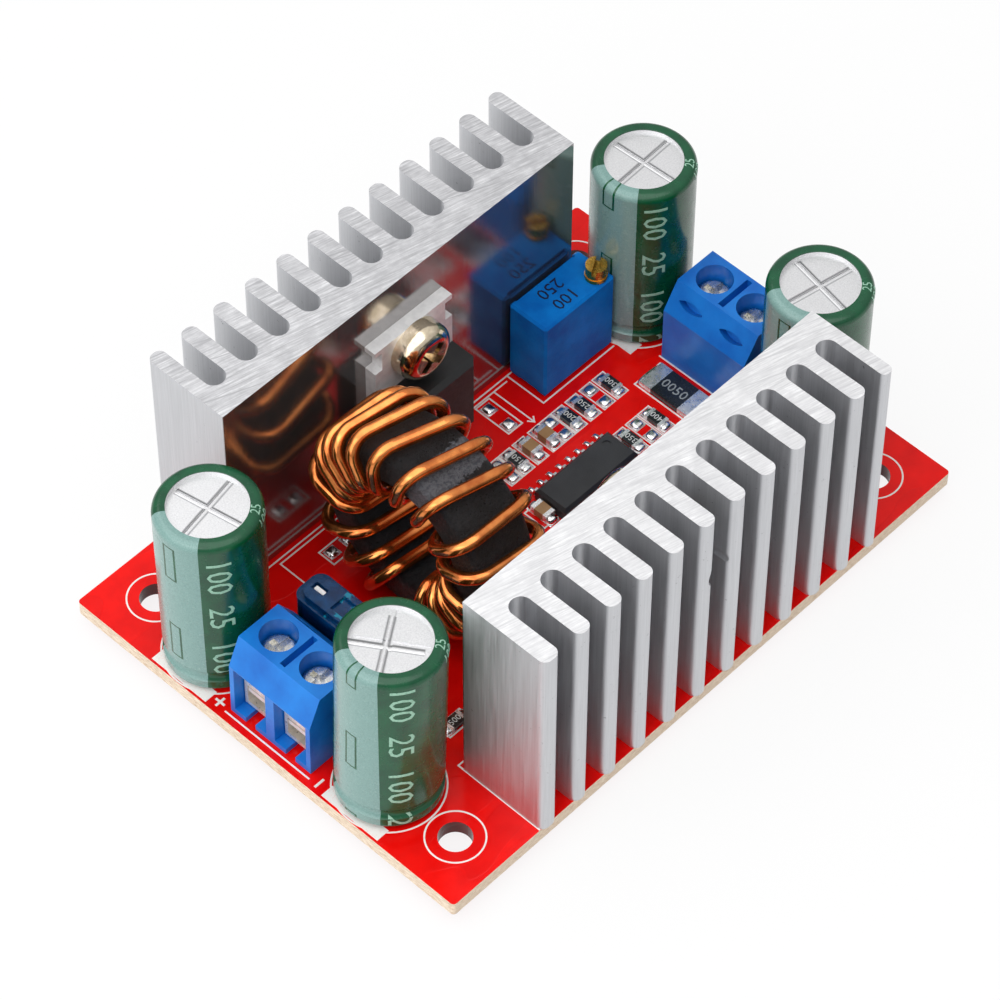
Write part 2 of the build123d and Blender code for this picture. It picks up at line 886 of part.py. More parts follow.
# Trimmers
def trimmer_housing():
    low = board_top + trimmer_standoff
    high = board_top + trimmer_height + trimmer_standoff
    body = centred_block(trimmer_x, trimmer_y, low, trimmer_length, trimmer_width, high - low)
    body = chamfer(body.edges(), trimmer_edge_chamfer)
    body -= centred_block(
        trimmer_x,
        trimmer_y + trimmer_width / 2,
        high - trimmer_ledge_depth,
        trimmer_length - 2 * trimmer_ledge_from_end,
        2 * trimmer_ledge_width,
        2 * trimmer_ledge_depth,
    )
    foot_x = (trimmer_length - trimmer_foot_size) / 2 - trimmer_edge_chamfer
    foot_y = (trimmer_width - trimmer_foot_size) / 2 - trimmer_edge_chamfer
    for side_x in (-1, 1):
        for side_y in (-1, 1):
            body += centred_block(
                trimmer_x + side_x * foot_x,
                trimmer_y + side_y * foot_y,
                board_top,
                trimmer_foot_size,
                trimmer_foot_size,
                trimmer_standoff,
            )
    bore = trimmer_shank_radius + running_gap
    bottom = high - trimmer_shank_depth - running_gap
    return body - post(trimmer_screw_x, trimmer_screw_y, bottom, 2 * high, bore)


def trimmer_screw():
    top = board_top + trimmer_height + trimmer_standoff
    seat = top + running_gap
    flange_top = seat + trimmer_flange_height
    head_top = flange_top + trimmer_screw_height
    x, y = trimmer_screw_x, trimmer_screw_y
    screw = post(x, y, top - trimmer_shank_depth, seat, trimmer_shank_radius)
    screw += post(x, y, seat, flange_top, trimmer_flange_radius)
    screw += post(x, y, flange_top, head_top, trimmer_screw_radius)
    slot = Box(2 * trimmer_flange_radius, trimmer_slot_width, 2 * trimmer_slot_depth)
    return screw - Pos(x, y, head_top) * Rot(0, 0, 30) * slot


def trimmer_pins():
    low = board_bottom
    high = board_top + trimmer_standoff
    return group(
        post(x, y, low, high, trimmer_pin_radius) for x, y in trimmer_pin_places() if y > 0
    )


# Surface-mounted pieces
def controller_body():
    low = board_top + controller_board_gap
    body = centred_block(
        controller_x, controller_y, low, controller_length, controller_width, controller_height
    )
    top_edges = [
        edge
        for edge in body.edges()
        if edge.center().Z > low + controller_height - seat_gap
    ]
    body = chamfer(top_edges, controller_edge_chamfer)
    top = low + controller_height
    mark_x = controller_x + controller_length / 2 - 3 * controller_mark_radius
    mark_y = controller_y + controller_width / 2 - 2.5 * controller_mark_radius
    return body - post(mark_x, mark_y, top - controller_mark_depth, top, controller_mark_radius)


def controller_lead_x(number):
    middle = (controller_leads_per_side - 1) / 2
    return controller_x + (number - middle) * controller_lead_pitch


def controller_leads():
    side = controller_width / 2
    low = board_top + pad_thickness
    middle = board_top + controller_board_gap + controller_height / 2
    thick = controller_lead_thickness
    toe = side + controller_lead_reach
    heel = toe - controller_lead_foot
    outline = Polyline(
        (side, middle),
        (side, middle - thick),
        (heel - thick, middle - thick),
        (heel, low),
        (toe, low),
        (toe, low + thick),
        (heel + thick, low + thick),
        (heel, middle),
        close=True,
    )
    lead = extrude(Plane.YZ * make_face(outline), controller_lead_width / 2, both=True)
    leads = []
    for number in range(controller_leads_per_side):
        for turn in (0, 180):
            x = controller_lead_x(number)
            leads.append(Pos(x, controller_y, 0) * Rot(0, 0, turn) * lead)
    return group(leads)


def shunt_body():
    length = shunt_length - 2 * shunt_terminal_length
    low = board_top + pad_thickness
    return centred_block(shunt_x, shunt_y, low, shunt_width, length, shunt_height)


def shunt_terminals():
    y = (shunt_length - shunt_terminal_length) / 2
    low = board_top + pad_thickness
    return group(
        centred_block(
            shunt_x, shunt_y + side * y, low, shunt_width, shunt_terminal_length, shunt_height
        )
        for side in (-1, 1)
    )


def chip_resistor_places():
    places = [(x, rear_row_y, 90) for x in resistors_rear_row]
    places += [(x, front_row_y, 90) for x in resistors_front_row]
    places.append((front_resistor[0], front_resistor[1], 0))
    return places


def chip_capacitor_places():
    places = [(x, rear_row_y, 90) for x in capacitors_rear_row]
    places.append((loose_capacitor[0], loose_capacitor[1], 90))
    return places


def chip_bodies(places, height, end):
    low = board_top + pad_thickness
    return group(
        Pos(x, y, low + height / 2) * Rot(0, 0, turn) * Box(chip_length - 2 * end, chip_width, height)
        for x, y, turn in places
    )


def chip_ends(places, height, end):
    low = board_top + pad_thickness
    offset = (chip_length - end) / 2
    return group(
        Pos(x, y, low + height / 2)
        * Rot(0, 0, turn)
        * Pos(side * offset, 0, 0)
        * Box(end, chip_width, height)
        for x, y, turn in places
        for side in (-1, 1)
    )


def chip_pads(x, y, turn):
    offset = chip_pad_spacing / 2
    return [
        Pos(x, y, board_top + pad_thickness / 2)
        * Rot(0, 0, turn)
        * Pos(side * offset, 0, 0)
        * Box(chip_pad_length, chip_pad_width, pad_thickness)
        for side in (-1, 1)
    ]


def tinned_pads():
    pads = []
    for x, y, turn in chip_resistor_places() + chip_capacitor_places():
        pads += chip_pads(x, y, turn)
    for x in bare_rear_row:
        pads += chip_pads(x, rear_row_y, 90)
    for x in bare_front_row:
        pads += chip_pads(x, front_row_y, 90)
    for pair in bare_pad_pairs:
        for x, y in pair:
            pads.append(
                centred_block(x, y, board_top, chip_pad_width, chip_pad_width, pad_thickness)
            )
    toe = controller_width / 2 + controller_lead_reach
    foot_y = toe - controller_lead_foot / 2
    for number in range(controller_leads_per_side):
        for side in (-1, 1):
            pads.append(
                centred_block(
                    controller_lead_x(number),
                    controller_y + side * foot_y,
                    board_top,
                    controller_lead_width,
                    2 * controller_lead_foot,
                    pad_thickness,
                )
            )
    shunt_pad_y = (shunt_length - shunt_terminal_length) / 2
    for side in (-1, 1):
        pads.append(
            centred_block(
                shunt_x,
                shunt_y + side * shunt_pad_y,
                board_top,
                shunt_width,
                shunt_terminal_length,
                pad_thickness,
            )
        )
    return group(pads)


def save(name, shape):
    export_step(shape, "parts/" + name + ".step")


def save_capacitors():
    for name, (side_x, side_y, vent_angle, lean) in capacitors.items():
        place = Pos(side_x * capacitor_x, side_y * capacitor_y, board_top)
        leaning = place * Rot(0, lean, 0)
        can, sleeve = capacitor_can_and_sleeve(vent_angle)
        save(name + "_can", leaning * can)
        save(name + "_sleeve", leaning * sleeve)
        save(name + "_bung", leaning * capacitor_bung())
        save(name + "_leads", trim_at_board_bottom(leaning * capacitor_leads()))


def save_terminals():
    ends = (("input", at_input), ("output", at_output))
    ways = (("a", -way_pitch / 2), ("b", way_pitch / 2))
    for end, place in ends:
        save(end + "_terminal_housing", place(terminal_housing()))
        save(end + "_terminal_contacts", place(terminal_contacts()))
        for way, way_y in ways:
            save(end + "_clamp_screw_" + way, place(clamp_screw(way_y)))
            save(end + "_clamp_cage_" + way, place(clamp_cage(way_y)))


def save_power_packages():
    save("rectifier_tab", package_tab())
    save("rectifier_body", package_body())
    save("rectifier_screw", package_screw())
    save("mosfet_tab", to_front(package_tab()))
    save("mosfet_body", to_front(package_body()))
    save("mosfet_screw", to_front(package_screw()))


def save_trimmers():
    save("rear_trimmer_housing", trimmer_housing())
    save("rear_trimmer_screw", trimmer_screw())
    save("rear_trimmer_pins", trimmer_pins())
    save("front_trimmer_housing", to_front(trimmer_housing()))
    save("front_trimmer_screw", to_front(trimmer_screw()))
    save("front_trimmer_pins", to_front(trimmer_pins()))


def save_surface_pieces():
    resistors = chip_resistor_places()
    capacitors = chip_capacitor_places()
    save("controller_body", controller_body())
    save("controller_leads", controller_leads())
    save("shunt_body", shunt_body())
    save("shunt_terminals", shunt_terminals())
    save("chip_resistor_bodies", chip_bodies(resistors, chip_resistor_height, chip_resistor_end))
    save("chip_resistor_ends", chip_ends(resistors, chip_resistor_height, chip_resistor_end))
    save("chip_capacitor_bodies", chip_bodies(capacitors, chip_capacitor_height, chip_capacitor_end))
    save("chip_capacitor_ends", chip_ends(capacitors, chip_capacitor_height, chip_capacitor_end))
    save("tinned_pads", tinned_pads())


os.makedirs("parts", exist_ok=True)
save("circuit_board", circuit_board())
save("solder_joints", solder_joints())
save("rear_heatsink", heatsink(0))
save("front_heatsink", to_front(heatsink(front_slot_shift)))
save("heatsink_pins", heatsink_pins())
save("toroid_core", toroid_core())
save("toroid_winding", toroid_winding())
save("fuse_body", fuse_body())
save("fuse_element", fuse_element())
save_power_packages()
save_capacitors()
save_terminals()
save_trimmers()
save_surface_pieces()
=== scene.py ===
"""Looks for the boost converter module: finishes, printed marks and solder around its solids."""

import math

import bmesh
import bpy
from mathutils import Matrix, Vector


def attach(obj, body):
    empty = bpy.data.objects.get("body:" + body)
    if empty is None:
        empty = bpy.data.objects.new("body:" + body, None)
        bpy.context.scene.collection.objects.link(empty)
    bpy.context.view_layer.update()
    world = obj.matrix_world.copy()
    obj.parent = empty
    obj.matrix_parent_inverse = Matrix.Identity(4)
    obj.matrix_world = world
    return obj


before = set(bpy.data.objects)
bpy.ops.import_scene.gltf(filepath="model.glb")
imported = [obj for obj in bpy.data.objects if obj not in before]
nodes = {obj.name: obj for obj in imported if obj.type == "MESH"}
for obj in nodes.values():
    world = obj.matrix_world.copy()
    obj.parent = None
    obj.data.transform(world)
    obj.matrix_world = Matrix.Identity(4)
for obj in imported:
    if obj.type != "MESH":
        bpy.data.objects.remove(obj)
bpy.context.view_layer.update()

# Millimetres, from under the middle of the board at the level of the lowest lead ends, with +X
# towards the output end and +Y towards the rear
MM = 0.001
SIDES = (-1, 1)

# Board and the ink on it
BOARD_TOP = 3.0
BOARD_HALF_LENGTH = 33.5
BOARD_HALF_WIDTH = 24.0
EDGE_BAND = 0.6
HOLE_X = 28.18
HOLE_Y = 19.07
HOLE_RING_RADIUS = 2.75
CAPACITOR_RING_RADIUS = 5.2
RING_SEGMENTS = 64
INK_HEIGHT = 0.025
INK_WIDTH = 0.16
FINE_INK_WIDTH = 0.13
SIGN_WIDTH = 0.24
SIGN_REACH = 0.45
# Each mark on the board lies one step above the last, and numbers lie at most the gap off their piece
MARK_STEP = 0.0004
SKIN_GAP = 0.01

# White fields by the capacitors' negative leads: ends along x, and ends across on either side
LEAD_FIELDS = ((-33.25, -31.8), (23.25, 24.9))
LEAD_FIELD_SPAN = (7.38, 14.38)

# Printed lines along the pieces, each through its points
PRINTED_LINES = (
    ((-22.5, -23.9), (-22.5, -13.95), (22.5, -13.95)),
    ((-22.5, 14.07), (22.5, 14.07)),
    ((-17.6, 10.5), (-17.6, 13.6), (12.6, 13.6)),
    ((13.15, 14.0), (13.15, 9.25), (22.9, 9.25)),
    ((13.15, -14.0), (13.15, -9.25), (22.9, -9.25)),
    ((25.05, -5.2), (25.05, 5.2)),
    ((-32.75, -5.3), (-32.75, 5.3)),
)
ARROW_SHAFT = ((10.85, 13.5), (10.88, 8.35))
ARROW_HEAD = ((10.5, 8.8), (10.88, 8.3), (11.26, 8.8))
# Frames by their ends along x and then y: the shunt's, and those of two pairs of bare pads, the lone
# resistor and the lone capacitor
SHUNT_FRAME = (20.75, 24.5, -2.9, 4.67)
LONE_FRAMES = (
    (8.05, 10.05, 8.95, 13.45),
    (-14.3, -10.2, 9.9, 12.05),
    (-20.9, -17.9, -11.4, -9.6),
    (2.2, 4.6, -1.2, 1.5),
)
MINUS_SIGNS = ((-32.45, -6.35), (32.35, 6.4))
PLUS_SIGNS = ((-32.35, 6.4), (32.35, -6.4))

# Chips, by their places along x, with the numbers on the resistors
PAD_TOP = 3.05
CHIP_HEIGHT = 0.5
CHIP_NUMBER_HEIGHT = 0.62
CHIP_PAD_OUT = 0.975
CHIP_END_OUT = 1.06
CHIP_FRAME_HALF = 0.82
REAR_ROW_Y = 6.12
REAR_ROW_FRAME = (4.45, 7.9)
REAR_RESISTORS = {19.1: "300", 15.35: "250", 13.4: "200", 6.2: "150"}
REAR_CAPACITORS = (10.2, 8.1)
REAR_BARE_PADS = (17.3, 11.75, 4.55)
FRONT_ROW_Y = 0.1
FRONT_ROW_FRAME = (-1.7, 1.9)
FRONT_RESISTORS = {19.0: "400", 15.43: "350"}
FRONT_BARE_PADS = (17.3,)
LONE_RESISTOR = (-19.4, -10.5)
LONE_CAPACITOR = (3.4, 0.15)
LONE_BARE_PADS = ((8.93, 12.4), (8.93, 9.8), (-13.35, 11.1), (-11.3, 11.1))
SHUNT_X = 22.6
SHUNT_Y = 1.05
SHUNT_HEIGHT = 0.6
SHUNT_NUMBER_HEIGHT = 1.05
SHUNT_END_OUT = 3.2
CONTROLLER_X = 9.1
CONTROLLER_Y = -0.1
CONTROLLER_PITCH = 1.27
CONTROLLER_LEADS_A_SIDE = 8
CONTROLLER_LEAD_OUT = 2.85

# Solder: length and width of each pillow, with its height too where all of its kind are alike
BARE_PAD_SOLDER = (1.2, 1.15, 0.3)
SQUARE_PAD_SOLDER = (1.22, 1.22, 0.32)
CHIP_END_SOLDER = (1.18, 1.05)
RESISTOR_SOLDER_HEIGHT = 0.34
CAPACITOR_SOLDER_HEIGHT = 0.55
SHUNT_SOLDER = (3.1, 0.9, 0.35)
LEAD_SOLDER = (0.5, 0.95, 0.26)
PILLOW_SEGMENTS = 20
PILLOW_FULLNESS = 0.62
PILLOW_SAG = 0.12
EQUATOR_MARGIN = 0.01

# Capacitors
CAPACITOR_X = 28.2
CAPACITOR_Y = 10.9
SLEEVE_RADIUS = 5.0
SLEEVE_TOP = 21.15
SLEEVE_SHOULDER = 0.8
SLEEVE_FOOT = 0.75
SLEEVE_BEND = SLEEVE_SHOULDER * math.pi / 2
SLEEVE_LENGTH = SLEEVE_TOP - SLEEVE_SHOULDER + SLEEVE_BEND - SLEEVE_FOOT
NECK_HEIGHT = 2.2
NECK_DEPTH = 0.35
NECK_RADIUS = 0.9
BAR_PITCH = 11.4
CROSS_REACH = 3.45
CROSS_HALF_WIDTH = 0.3
# Angles round a sleeve, in radians from the middle of its pale stripe. The two sizes of a bar are
# its half width as an angle and its half length as a share of the pitch
STRIPE_HALF_ANGLE = 0.62
BAR_OFF_MIDDLE = 0.02
BAR_OUTER = (0.145, 0.206)
BAR_HOLLOW = (0.1, 0.19)
# The capacitors in turn: centre, shift of the bars on the stripe, turn of the cross on the can and
# lean of the capacitor in degrees, and how far down the numbers start
CAPACITORS = {
    "capacitor_1": (-CAPACITOR_X, CAPACITOR_Y, 8.0, 10.5, 0, 1.6),
    "capacitor_2": (-CAPACITOR_X, -CAPACITOR_Y, 3.9, 34, 2.0, 0.4),
    "capacitor_3": (CAPACITOR_X, CAPACITOR_Y, 4.7, 2.5, 0, 0.9),
    "capacitor_4": (CAPACITOR_X, -CAPACITOR_Y, 8.0, -11, 0, 2.2),
}
# Numbers on a sleeve, with their turn from the stripe in degrees. Those at the rim also have their
# distance down from the shoulder's upper edge
COLUMN_NUMBERS = "100  25  100  25  100"
COLUMN_NUMBER_HEIGHT = 2.3
COLUMN_TURN = -56
COLUMN_DROP = 1.2
RIM_NUMBERS = (("25", -127, 0.05), ("100", -124, 1.15))
RIM_NUMBER_HEIGHT = 0.9
# The cuts that let flat numbers bend: at each step round the sleeve, and at its shoulder and neck
WRAP_STEP = 0.45
BEND_STEP = 0.3
BEND_CUTS = 3
SHOULDER_MIDDLE = 0.6

# Heatsink, ring core, fuse and trimmers
HEATSINK_INNER_Y = 14.6
HEATSINK_INNER_BAND = 0.1
TOROID_Y = 1.4
TOROID_Z = 14.48
# The painted patch on the core, in degrees round the core's axis
PATCH_START = 104
PATCH_END = 122
FUSE_X = -21.625
FUSE_Y = 0.4
FUSE_TOP = 11.9
FUSE_POCKET_HALF = 1.6
FUSE_TAB_OUT = 3.65
FUSE_BLADE_TOP = 10.8
FUSE_TAB_THICKNESS = 0.5
FUSE_TAB_WIDTH = 1.2
FUSE_TAB_HEIGHT = 0.85
FUSE_TAB_CORNER = 0.12
FUSE_TAB_RIM = 0.06
TRIMMER_Y = 11.9
TRIMMER_TOP = 13.0
TRIMMER_NUMBER_X = 17.6
TRIMMER_NUMBER_HEIGHT = 1.35
# Each row of numbers on a trimmer, with its distance behind the trimmer's middle
TRIMMER_NUMBERS = (("250", 0.85), ("100", -1.0))

# Stage and lamps, with the floor's drop in millimetres but its reach in metres
FLOOR_DROP = 0.05
FLOOR_REACH = 1.5
FLOOR_WHITE = 0.86
FLOOR_GLOW = 0.86
WORLD_LIGHT = 0.5
MIRRORED_LOW = 0.4
MIRRORED_HIGH = 0.98

# Most of a noise texture lies between these values
NOISE_LOW = 0.3
NOISE_HIGH = 0.7


# Finishes

def shade(red, green, blue):
    """A colour as seen on a screen, 0 to 255, in the linear values that shaders use."""
    def linear(value):
        value /= 255
        return value / 12.92 if value <= 0.04045 else ((value + 0.055) / 1.055) ** 2.4
    return (linear(red), linear(green), linear(blue), 1.0)


class Finish:
    """A procedural finish: one shader, and the textures that feed it. Colours are 0 to 255."""

    def __init__(self, name, **sockets):
        self.material = bpy.data.materials.new(name)
        self.material.use_nodes = True
        self.tree = self.material.node_tree
        self.shader = self.tree.nodes["Principled BSDF"]
        self.place = self.node("ShaderNodeTexCoord").outputs["Object"]
        self.facing = self.node("ShaderNodeTexCoord").outputs["Normal"]
        self.set(**sockets)

    def node(self, kind, inputs=None, **settings):
        """A new node with its settings made and its inputs fed."""
        made = self.tree.nodes.new(kind)
        for name, value in settings.items():
            setattr(made, name, value)
        for name, value in (inputs or {}).items():
            self.feed(made.inputs[name], value)
        return made

    def feed(self, socket, value):
        """Links another node's output to a socket, or sets the socket to a plain value or colour."""
        if isinstance(value, bpy.types.NodeSocket):
            self.tree.links.new(value, socket)
        elif socket.type == "RGBA":
            socket.default_value = shade(*value)
        else:
            socket.default_value = value

    def set(self, **sockets):
        """Sets shader sockets, each named with underscores for its spaces."""
        for name, value in sockets.items():
            self.feed(self.shader.inputs[name.replace("_", " ").title().replace("Ior", "IOR")], value)

    def mapped(self, stretch=(1, 1, 1), turn=(0, 0, 0), shift=(0, 0, 0)):
        """Object coordinates in millimetres, moved and turned, then stretched."""
        inputs = {
            "Vector": self.place,
            "Location": shift,
            "Rotation": [math.radians(angle) for angle in turn],
            "Scale": (1 / MM, 1 / MM, 1 / MM),
        }
        turned = self.node("ShaderNodeMapping", inputs).outputs["Vector"]
        if tuple(stretch) == (1, 1, 1):
            return turned
        return self.node("ShaderNodeMapping", {"Vector": turned, "Scale": stretch}).outputs["Vector"]

    def axes(self, vector):
        """The three parts of a vector."""
        made = self.node("ShaderNodeSeparateXYZ", {"Vector": vector})
        return made.outputs["X"], made.outputs["Y"], made.outputs["Z"]

    def levelness(self):
        """How level the surface is, from 0 on a wall to 1 where it faces up or down."""
        return self.distance(self.axes(self.facing)[2])

    def noise(self, size, detail=3.0, stretch=(1, 1, 1), turn=(0, 0, 0), rough=0.5):
        """Soft noise with patches of about the given size in millimetres."""
        inputs = {
            "Vector": self.mapped(stretch, turn),
            "Scale": 1 / size,
            "Detail": detail,
            "Roughness": rough,
        }
        return self.node("ShaderNodeTexNoise", inputs).outputs[0]

    def spread(self, value, start, end, low=0.0, high=1.0):
        """A value's stretch from start to end, laid out from low to high."""
        inputs = {"Value": value, "From Min": start, "From Max": end, "To Min": low, "To Max": high}
        return self.node("ShaderNodeMapRange", inputs).outputs["Result"]

    def varied(self, noise, low=0.0, high=1.0):
        """A value that goes from low to high with most of a noise."""
        return self.spread(noise, NOISE_LOW, NOISE_HIGH, low, high)

    def compute(self, operation, *values):
        """One step of arithmetic."""
        made = self.node("ShaderNodeMath", operation=operation)
        for socket, value in zip(made.inputs, values):
            self.feed(socket, value)
        return made.outputs[0]

    def plus(self, first, second):
        """The sum of two values."""
        return self.compute("ADD", first, second)

    def minus(self, first, second):
        """The first value less the second."""
        return self.compute("SUBTRACT", first, second)

    def times(self, first, second):
        """The product of two values, which is also where both of two areas are."""
        return self.compute("MULTIPLY", first, second)

    def distance(self, value):
        """How far a value is from zero."""
        return self.compute("ABSOLUTE", value)

    def above(self, value, limit):
        """An area, 1 where the value is above the limit."""
        return self.compute("GREATER_THAN", value, limit)

    def below(self, value, limit):
        """An area, 1 where the value is below the limit."""
        return self.compute("LESS_THAN", value, limit)

    def blend(self, share, first, second):
        """The first colour where share is 0, and the second where it is 1."""
        made = self.node("ShaderNodeMix", data_type="RGBA")
        self.feed(made.inputs[0], share)
        self.feed(made.inputs[6], first)
        self.feed(made.inputs[7], second)
        return made.outputs[2]

    def mix_value(self, share, first, second):
        """The first value where share is 0, and the second where it is 1."""
        made = self.node("ShaderNodeMix", data_type="FLOAT")
        self.feed(made.inputs[0], share)
        self.feed(made.inputs[2], first)
        self.feed(made.inputs[3], second)
        return made.outputs[0]

    def mix_shader(self, share, first, second):
        """The first shader where share is 0, and the second where it is 1."""
        made = self.node("ShaderNodeMixShader")
        for socket, value in zip(made.inputs, (share, first, second)):
            self.feed(socket, value)
        return made.outputs[0]

    def relief(self, height, depth, strength=1.0, under=None):
        """Bump of the given depth in millimetres, over any bump that lies under it."""
        inputs = {"Height": height, "Distance": depth * MM, "Strength": strength}
        if under is not None:
            inputs["Normal"] = under
        return self.node("ShaderNodeBump", inputs).outputs["Normal"]


def red_solder_mask():
    """Red solder mask over copper areas, with the bare laminate showing at the sawn edges and painted shade
    in the holes.
    """
    finish = Finish("red_solder_mask")
    x, y, _ = finish.axes(finish.mapped())
    past_end = finish.above(finish.distance(x), BOARD_HALF_LENGTH - EDGE_BAND)
    past_side = finish.above(finish.distance(y), BOARD_HALF_WIDTH - EDGE_BAND)
    wall = finish.below(finish.levelness(), 0.5)
    edge = finish.times(finish.compute("MAXIMUM", past_end, past_side), wall)
    # Painted shade: the walls of the holes are darkened to a deep red
    hole_wall_shade = finish.minus(wall, edge)
    copper = finish.spread(finish.noise(5.0, 1, stretch=(0.4, 1, 1)), 0.49, 0.5)
    mottle = finish.spread(finish.noise(2.6, 5), 0.35, 0.7)
    red = finish.blend(mottle, (244, 14, 8), (226, 8, 6))
    red = finish.blend(finish.times(copper, 0.25), red, (206, 6, 6))
    red = finish.blend(hole_wall_shade, red, (92, 10, 8))
    weave = finish.noise(0.2, 4, stretch=(0.3, 0.3, 2.6), rough=0.75)
    laminate = finish.blend(finish.spread(weave, 0.36, 0.62), (206, 176, 146), (252, 238, 218))
    finish.set(base_color=finish.blend(edge, red, laminate))
    finish.set(specular_ior_level=finish.plus(finish.times(edge, -0.1), 0.22))
    gloss = finish.varied(finish.noise(0.9, 4), 0.14, 0.24)
    finish.set(roughness=finish.plus(gloss, finish.times(edge, 0.5)))
    lumps = finish.relief(finish.noise(1.1, 2), 0.02, 0.35)
    steps = finish.relief(copper, 0.03, 0.4, lumps)
    finish.set(normal=finish.relief(finish.times(weave, edge), 0.12, 0.7, steps))
    return finish


def sawn_aluminium(name, cut_dark, cut_bright, side_bright, inner_bright, inner_roughness):
    """Finned bar: saw marks on the cut ends, drawn lines down the sides, a smooth inner face."""
    finish = Finish(name, metallic=0.92)
    y = finish.axes(finish.mapped())[1]
    cut = finish.above(finish.levelness(), 0.7)
    inner = finish.below(finish.distance(y), HEATSINK_INNER_Y + HEATSINK_INNER_BAND)
    inner = finish.times(inner, finish.minus(1.0, cut))
    saw_marks = finish.noise(0.2, 4, stretch=(0.05, 1, 1), turn=(0, 0, 14), rough=0.7)
    drawn_lines = finish.noise(0.14, 3, stretch=(1, 1, 0.02), rough=0.6)
    blotches = finish.spread(finish.noise(1.5, 5, rough=0.65), 0.35, 0.7, 0.0, 0.6)
    scratches = finish.noise(0.5, 2, stretch=(0.03, 1.6, 1), turn=(0, 0, 22), rough=0.4)
    scuffs = finish.spread(finish.noise(0.5, 5, rough=0.75), 0.64, 0.74)
    marks = finish.mix_value(cut, drawn_lines, saw_marks)
    cut_colour = finish.blend(finish.spread(saw_marks, 0.34, 0.66), cut_dark, cut_bright)
    cut_colour = finish.blend(blotches, cut_colour, cut_dark)
    cut_colour = finish.blend(finish.spread(scratches, 0.66, 0.7, 0.0, 0.8), cut_colour, cut_dark)
    side_dark = [value - 16 for value in side_bright]
    side_colour = finish.blend(finish.varied(drawn_lines), side_dark, side_bright)
    side_colour = finish.blend(scuffs, side_colour, (120, 121, 126))
    sides = finish.blend(inner, side_colour, inner_bright)
    finish.set(base_color=finish.blend(cut, sides, cut_colour))
    smooth = finish.varied(drawn_lines, inner_roughness, inner_roughness + 0.05)
    finish.set(roughness=finish.mix_value(inner, finish.varied(marks, 0.4, 0.56), smooth))
    depth = finish.mix_value(cut, 0.16, 0.6)
    finish.set(normal=finish.relief(finish.times(marks, depth), 0.05, 0.5))
    return finish


def capacitor_sleeve(name, centre_x, centre_y, bar_shift):
    """Shrunk green sleeve with the pale stripe and its bars on the side of the negative lead."""
    finish = Finish(name, coat_weight=0.12, coat_roughness=0.1, specular_ior_level=0.4)
    x, y, z = finish.axes(finish.mapped(shift=(-centre_x, -centre_y, 0)))
    angle = finish.compute("ARCTAN2", y, finish.times(x, -1.0))
    stripe = finish.below(finish.distance(angle), STRIPE_HALF_ANGLE)
    bar_side = finish.distance(finish.plus(angle, BAR_OFF_MIDDLE))
    repeat = finish.compute("FRACT", finish.compute("DIVIDE", finish.plus(z, bar_shift), BAR_PITCH))
    bar_end = finish.distance(finish.minus(repeat, 0.5))

    def bar(half_angle, half_share):
        """The area of the bars, from their half width and half length."""
        return finish.times(finish.below(bar_side, half_angle), finish.below(bar_end, half_share))

    bar_outline = finish.minus(bar(*BAR_OUTER), bar(*BAR_HOLLOW))
    grain = finish.noise(0.12, 2, rough=0.8)
    green = finish.blend(finish.varied(finish.noise(1.8, 3)), (2, 66, 40), (6, 84, 50))
    pale = finish.blend(finish.varied(grain), (108, 144, 138), (134, 168, 163))
    finish.set(base_color=finish.blend(finish.minus(stripe, bar_outline), green, pale))
    finish.set(roughness=finish.varied(finish.noise(0.8, 3), 0.2, 0.3))
    finish.set(normal=finish.relief(finish.noise(1.3, 2, stretch=(1, 1, 0.5)), 0.05, 0.3))
    return finish


def can_aluminium(name, centre_x, centre_y, cross_turn):
    """Frosted can top, with painted shade along the edges of its stamped cross."""
    finish = Finish(name, metallic=1.0)
    x, y, _ = finish.axes(finish.mapped(shift=(-centre_x, -centre_y, 0)))
    turn = math.radians(cross_turn)
    arms = []
    for along_x, along_y in ((math.cos(turn), math.sin(turn)), (-math.sin(turn), math.cos(turn))):
        far = finish.plus(finish.times(x, along_x), finish.times(y, along_y))
        arms.append(finish.distance(far))
    nearest = finish.compute("MINIMUM", *arms)
    inside = finish.below(finish.compute("MAXIMUM", *arms), CROSS_REACH)
    from_edge = finish.distance(finish.minus(nearest, CROSS_HALF_WIDTH))
    # Painted shade: a dark line along each edge of the stamped cross
    edge = finish.times(finish.spread(from_edge, 0.03, 0.12, 1.0, 0.0), inside)
    crest = finish.times(finish.spread(nearest, 0.1, CROSS_HALF_WIDTH, 1.0, 0.0), inside)
    grain = finish.noise(0.14, 5, rough=0.8)
    plain = finish.blend(finish.varied(grain), (200, 200, 202), (236, 236, 237))
    finish.set(base_color=finish.blend(finish.times(edge, 0.75), plain, (136, 137, 140)))
    finish.set(roughness=finish.varied(grain, 0.34, 0.5))
    frost = finish.relief(grain, 0.03, 0.5)
    finish.set(normal=finish.relief(crest, 0.12, 0.8, frost))
    return finish


def moulded(name, dark, light, roughness, depth=0.03, size=0.5, **sockets):
    """Moulded plastic or rubber, lightly uneven."""
    finish = Finish(name, **sockets)
    skin = finish.noise(size, 4, rough=0.65)
    finish.set(base_color=finish.blend(finish.varied(finish.noise(3.5, 4)), dark, light))
    finish.set(roughness=finish.varied(skin, roughness - 0.05, roughness + 0.07))
    finish.set(normal=finish.relief(skin, depth, 0.4))
    return finish


def bright_metal(name, dark, light, roughness, depth=0.02, size=0.35, metallic=1.0):
    """Plated or tinned metal, with faint stains and dents."""
    finish = Finish(name, metallic=metallic)
    dents = finish.noise(size, 4, rough=0.6)
    finish.set(base_color=finish.blend(finish.varied(finish.noise(0.9, 4, rough=0.6)), dark, light))
    finish.set(roughness=finish.varied(dents, roughness - 0.04, roughness + 0.08))
    finish.set(normal=finish.relief(dents, depth, 0.5))
    return finish


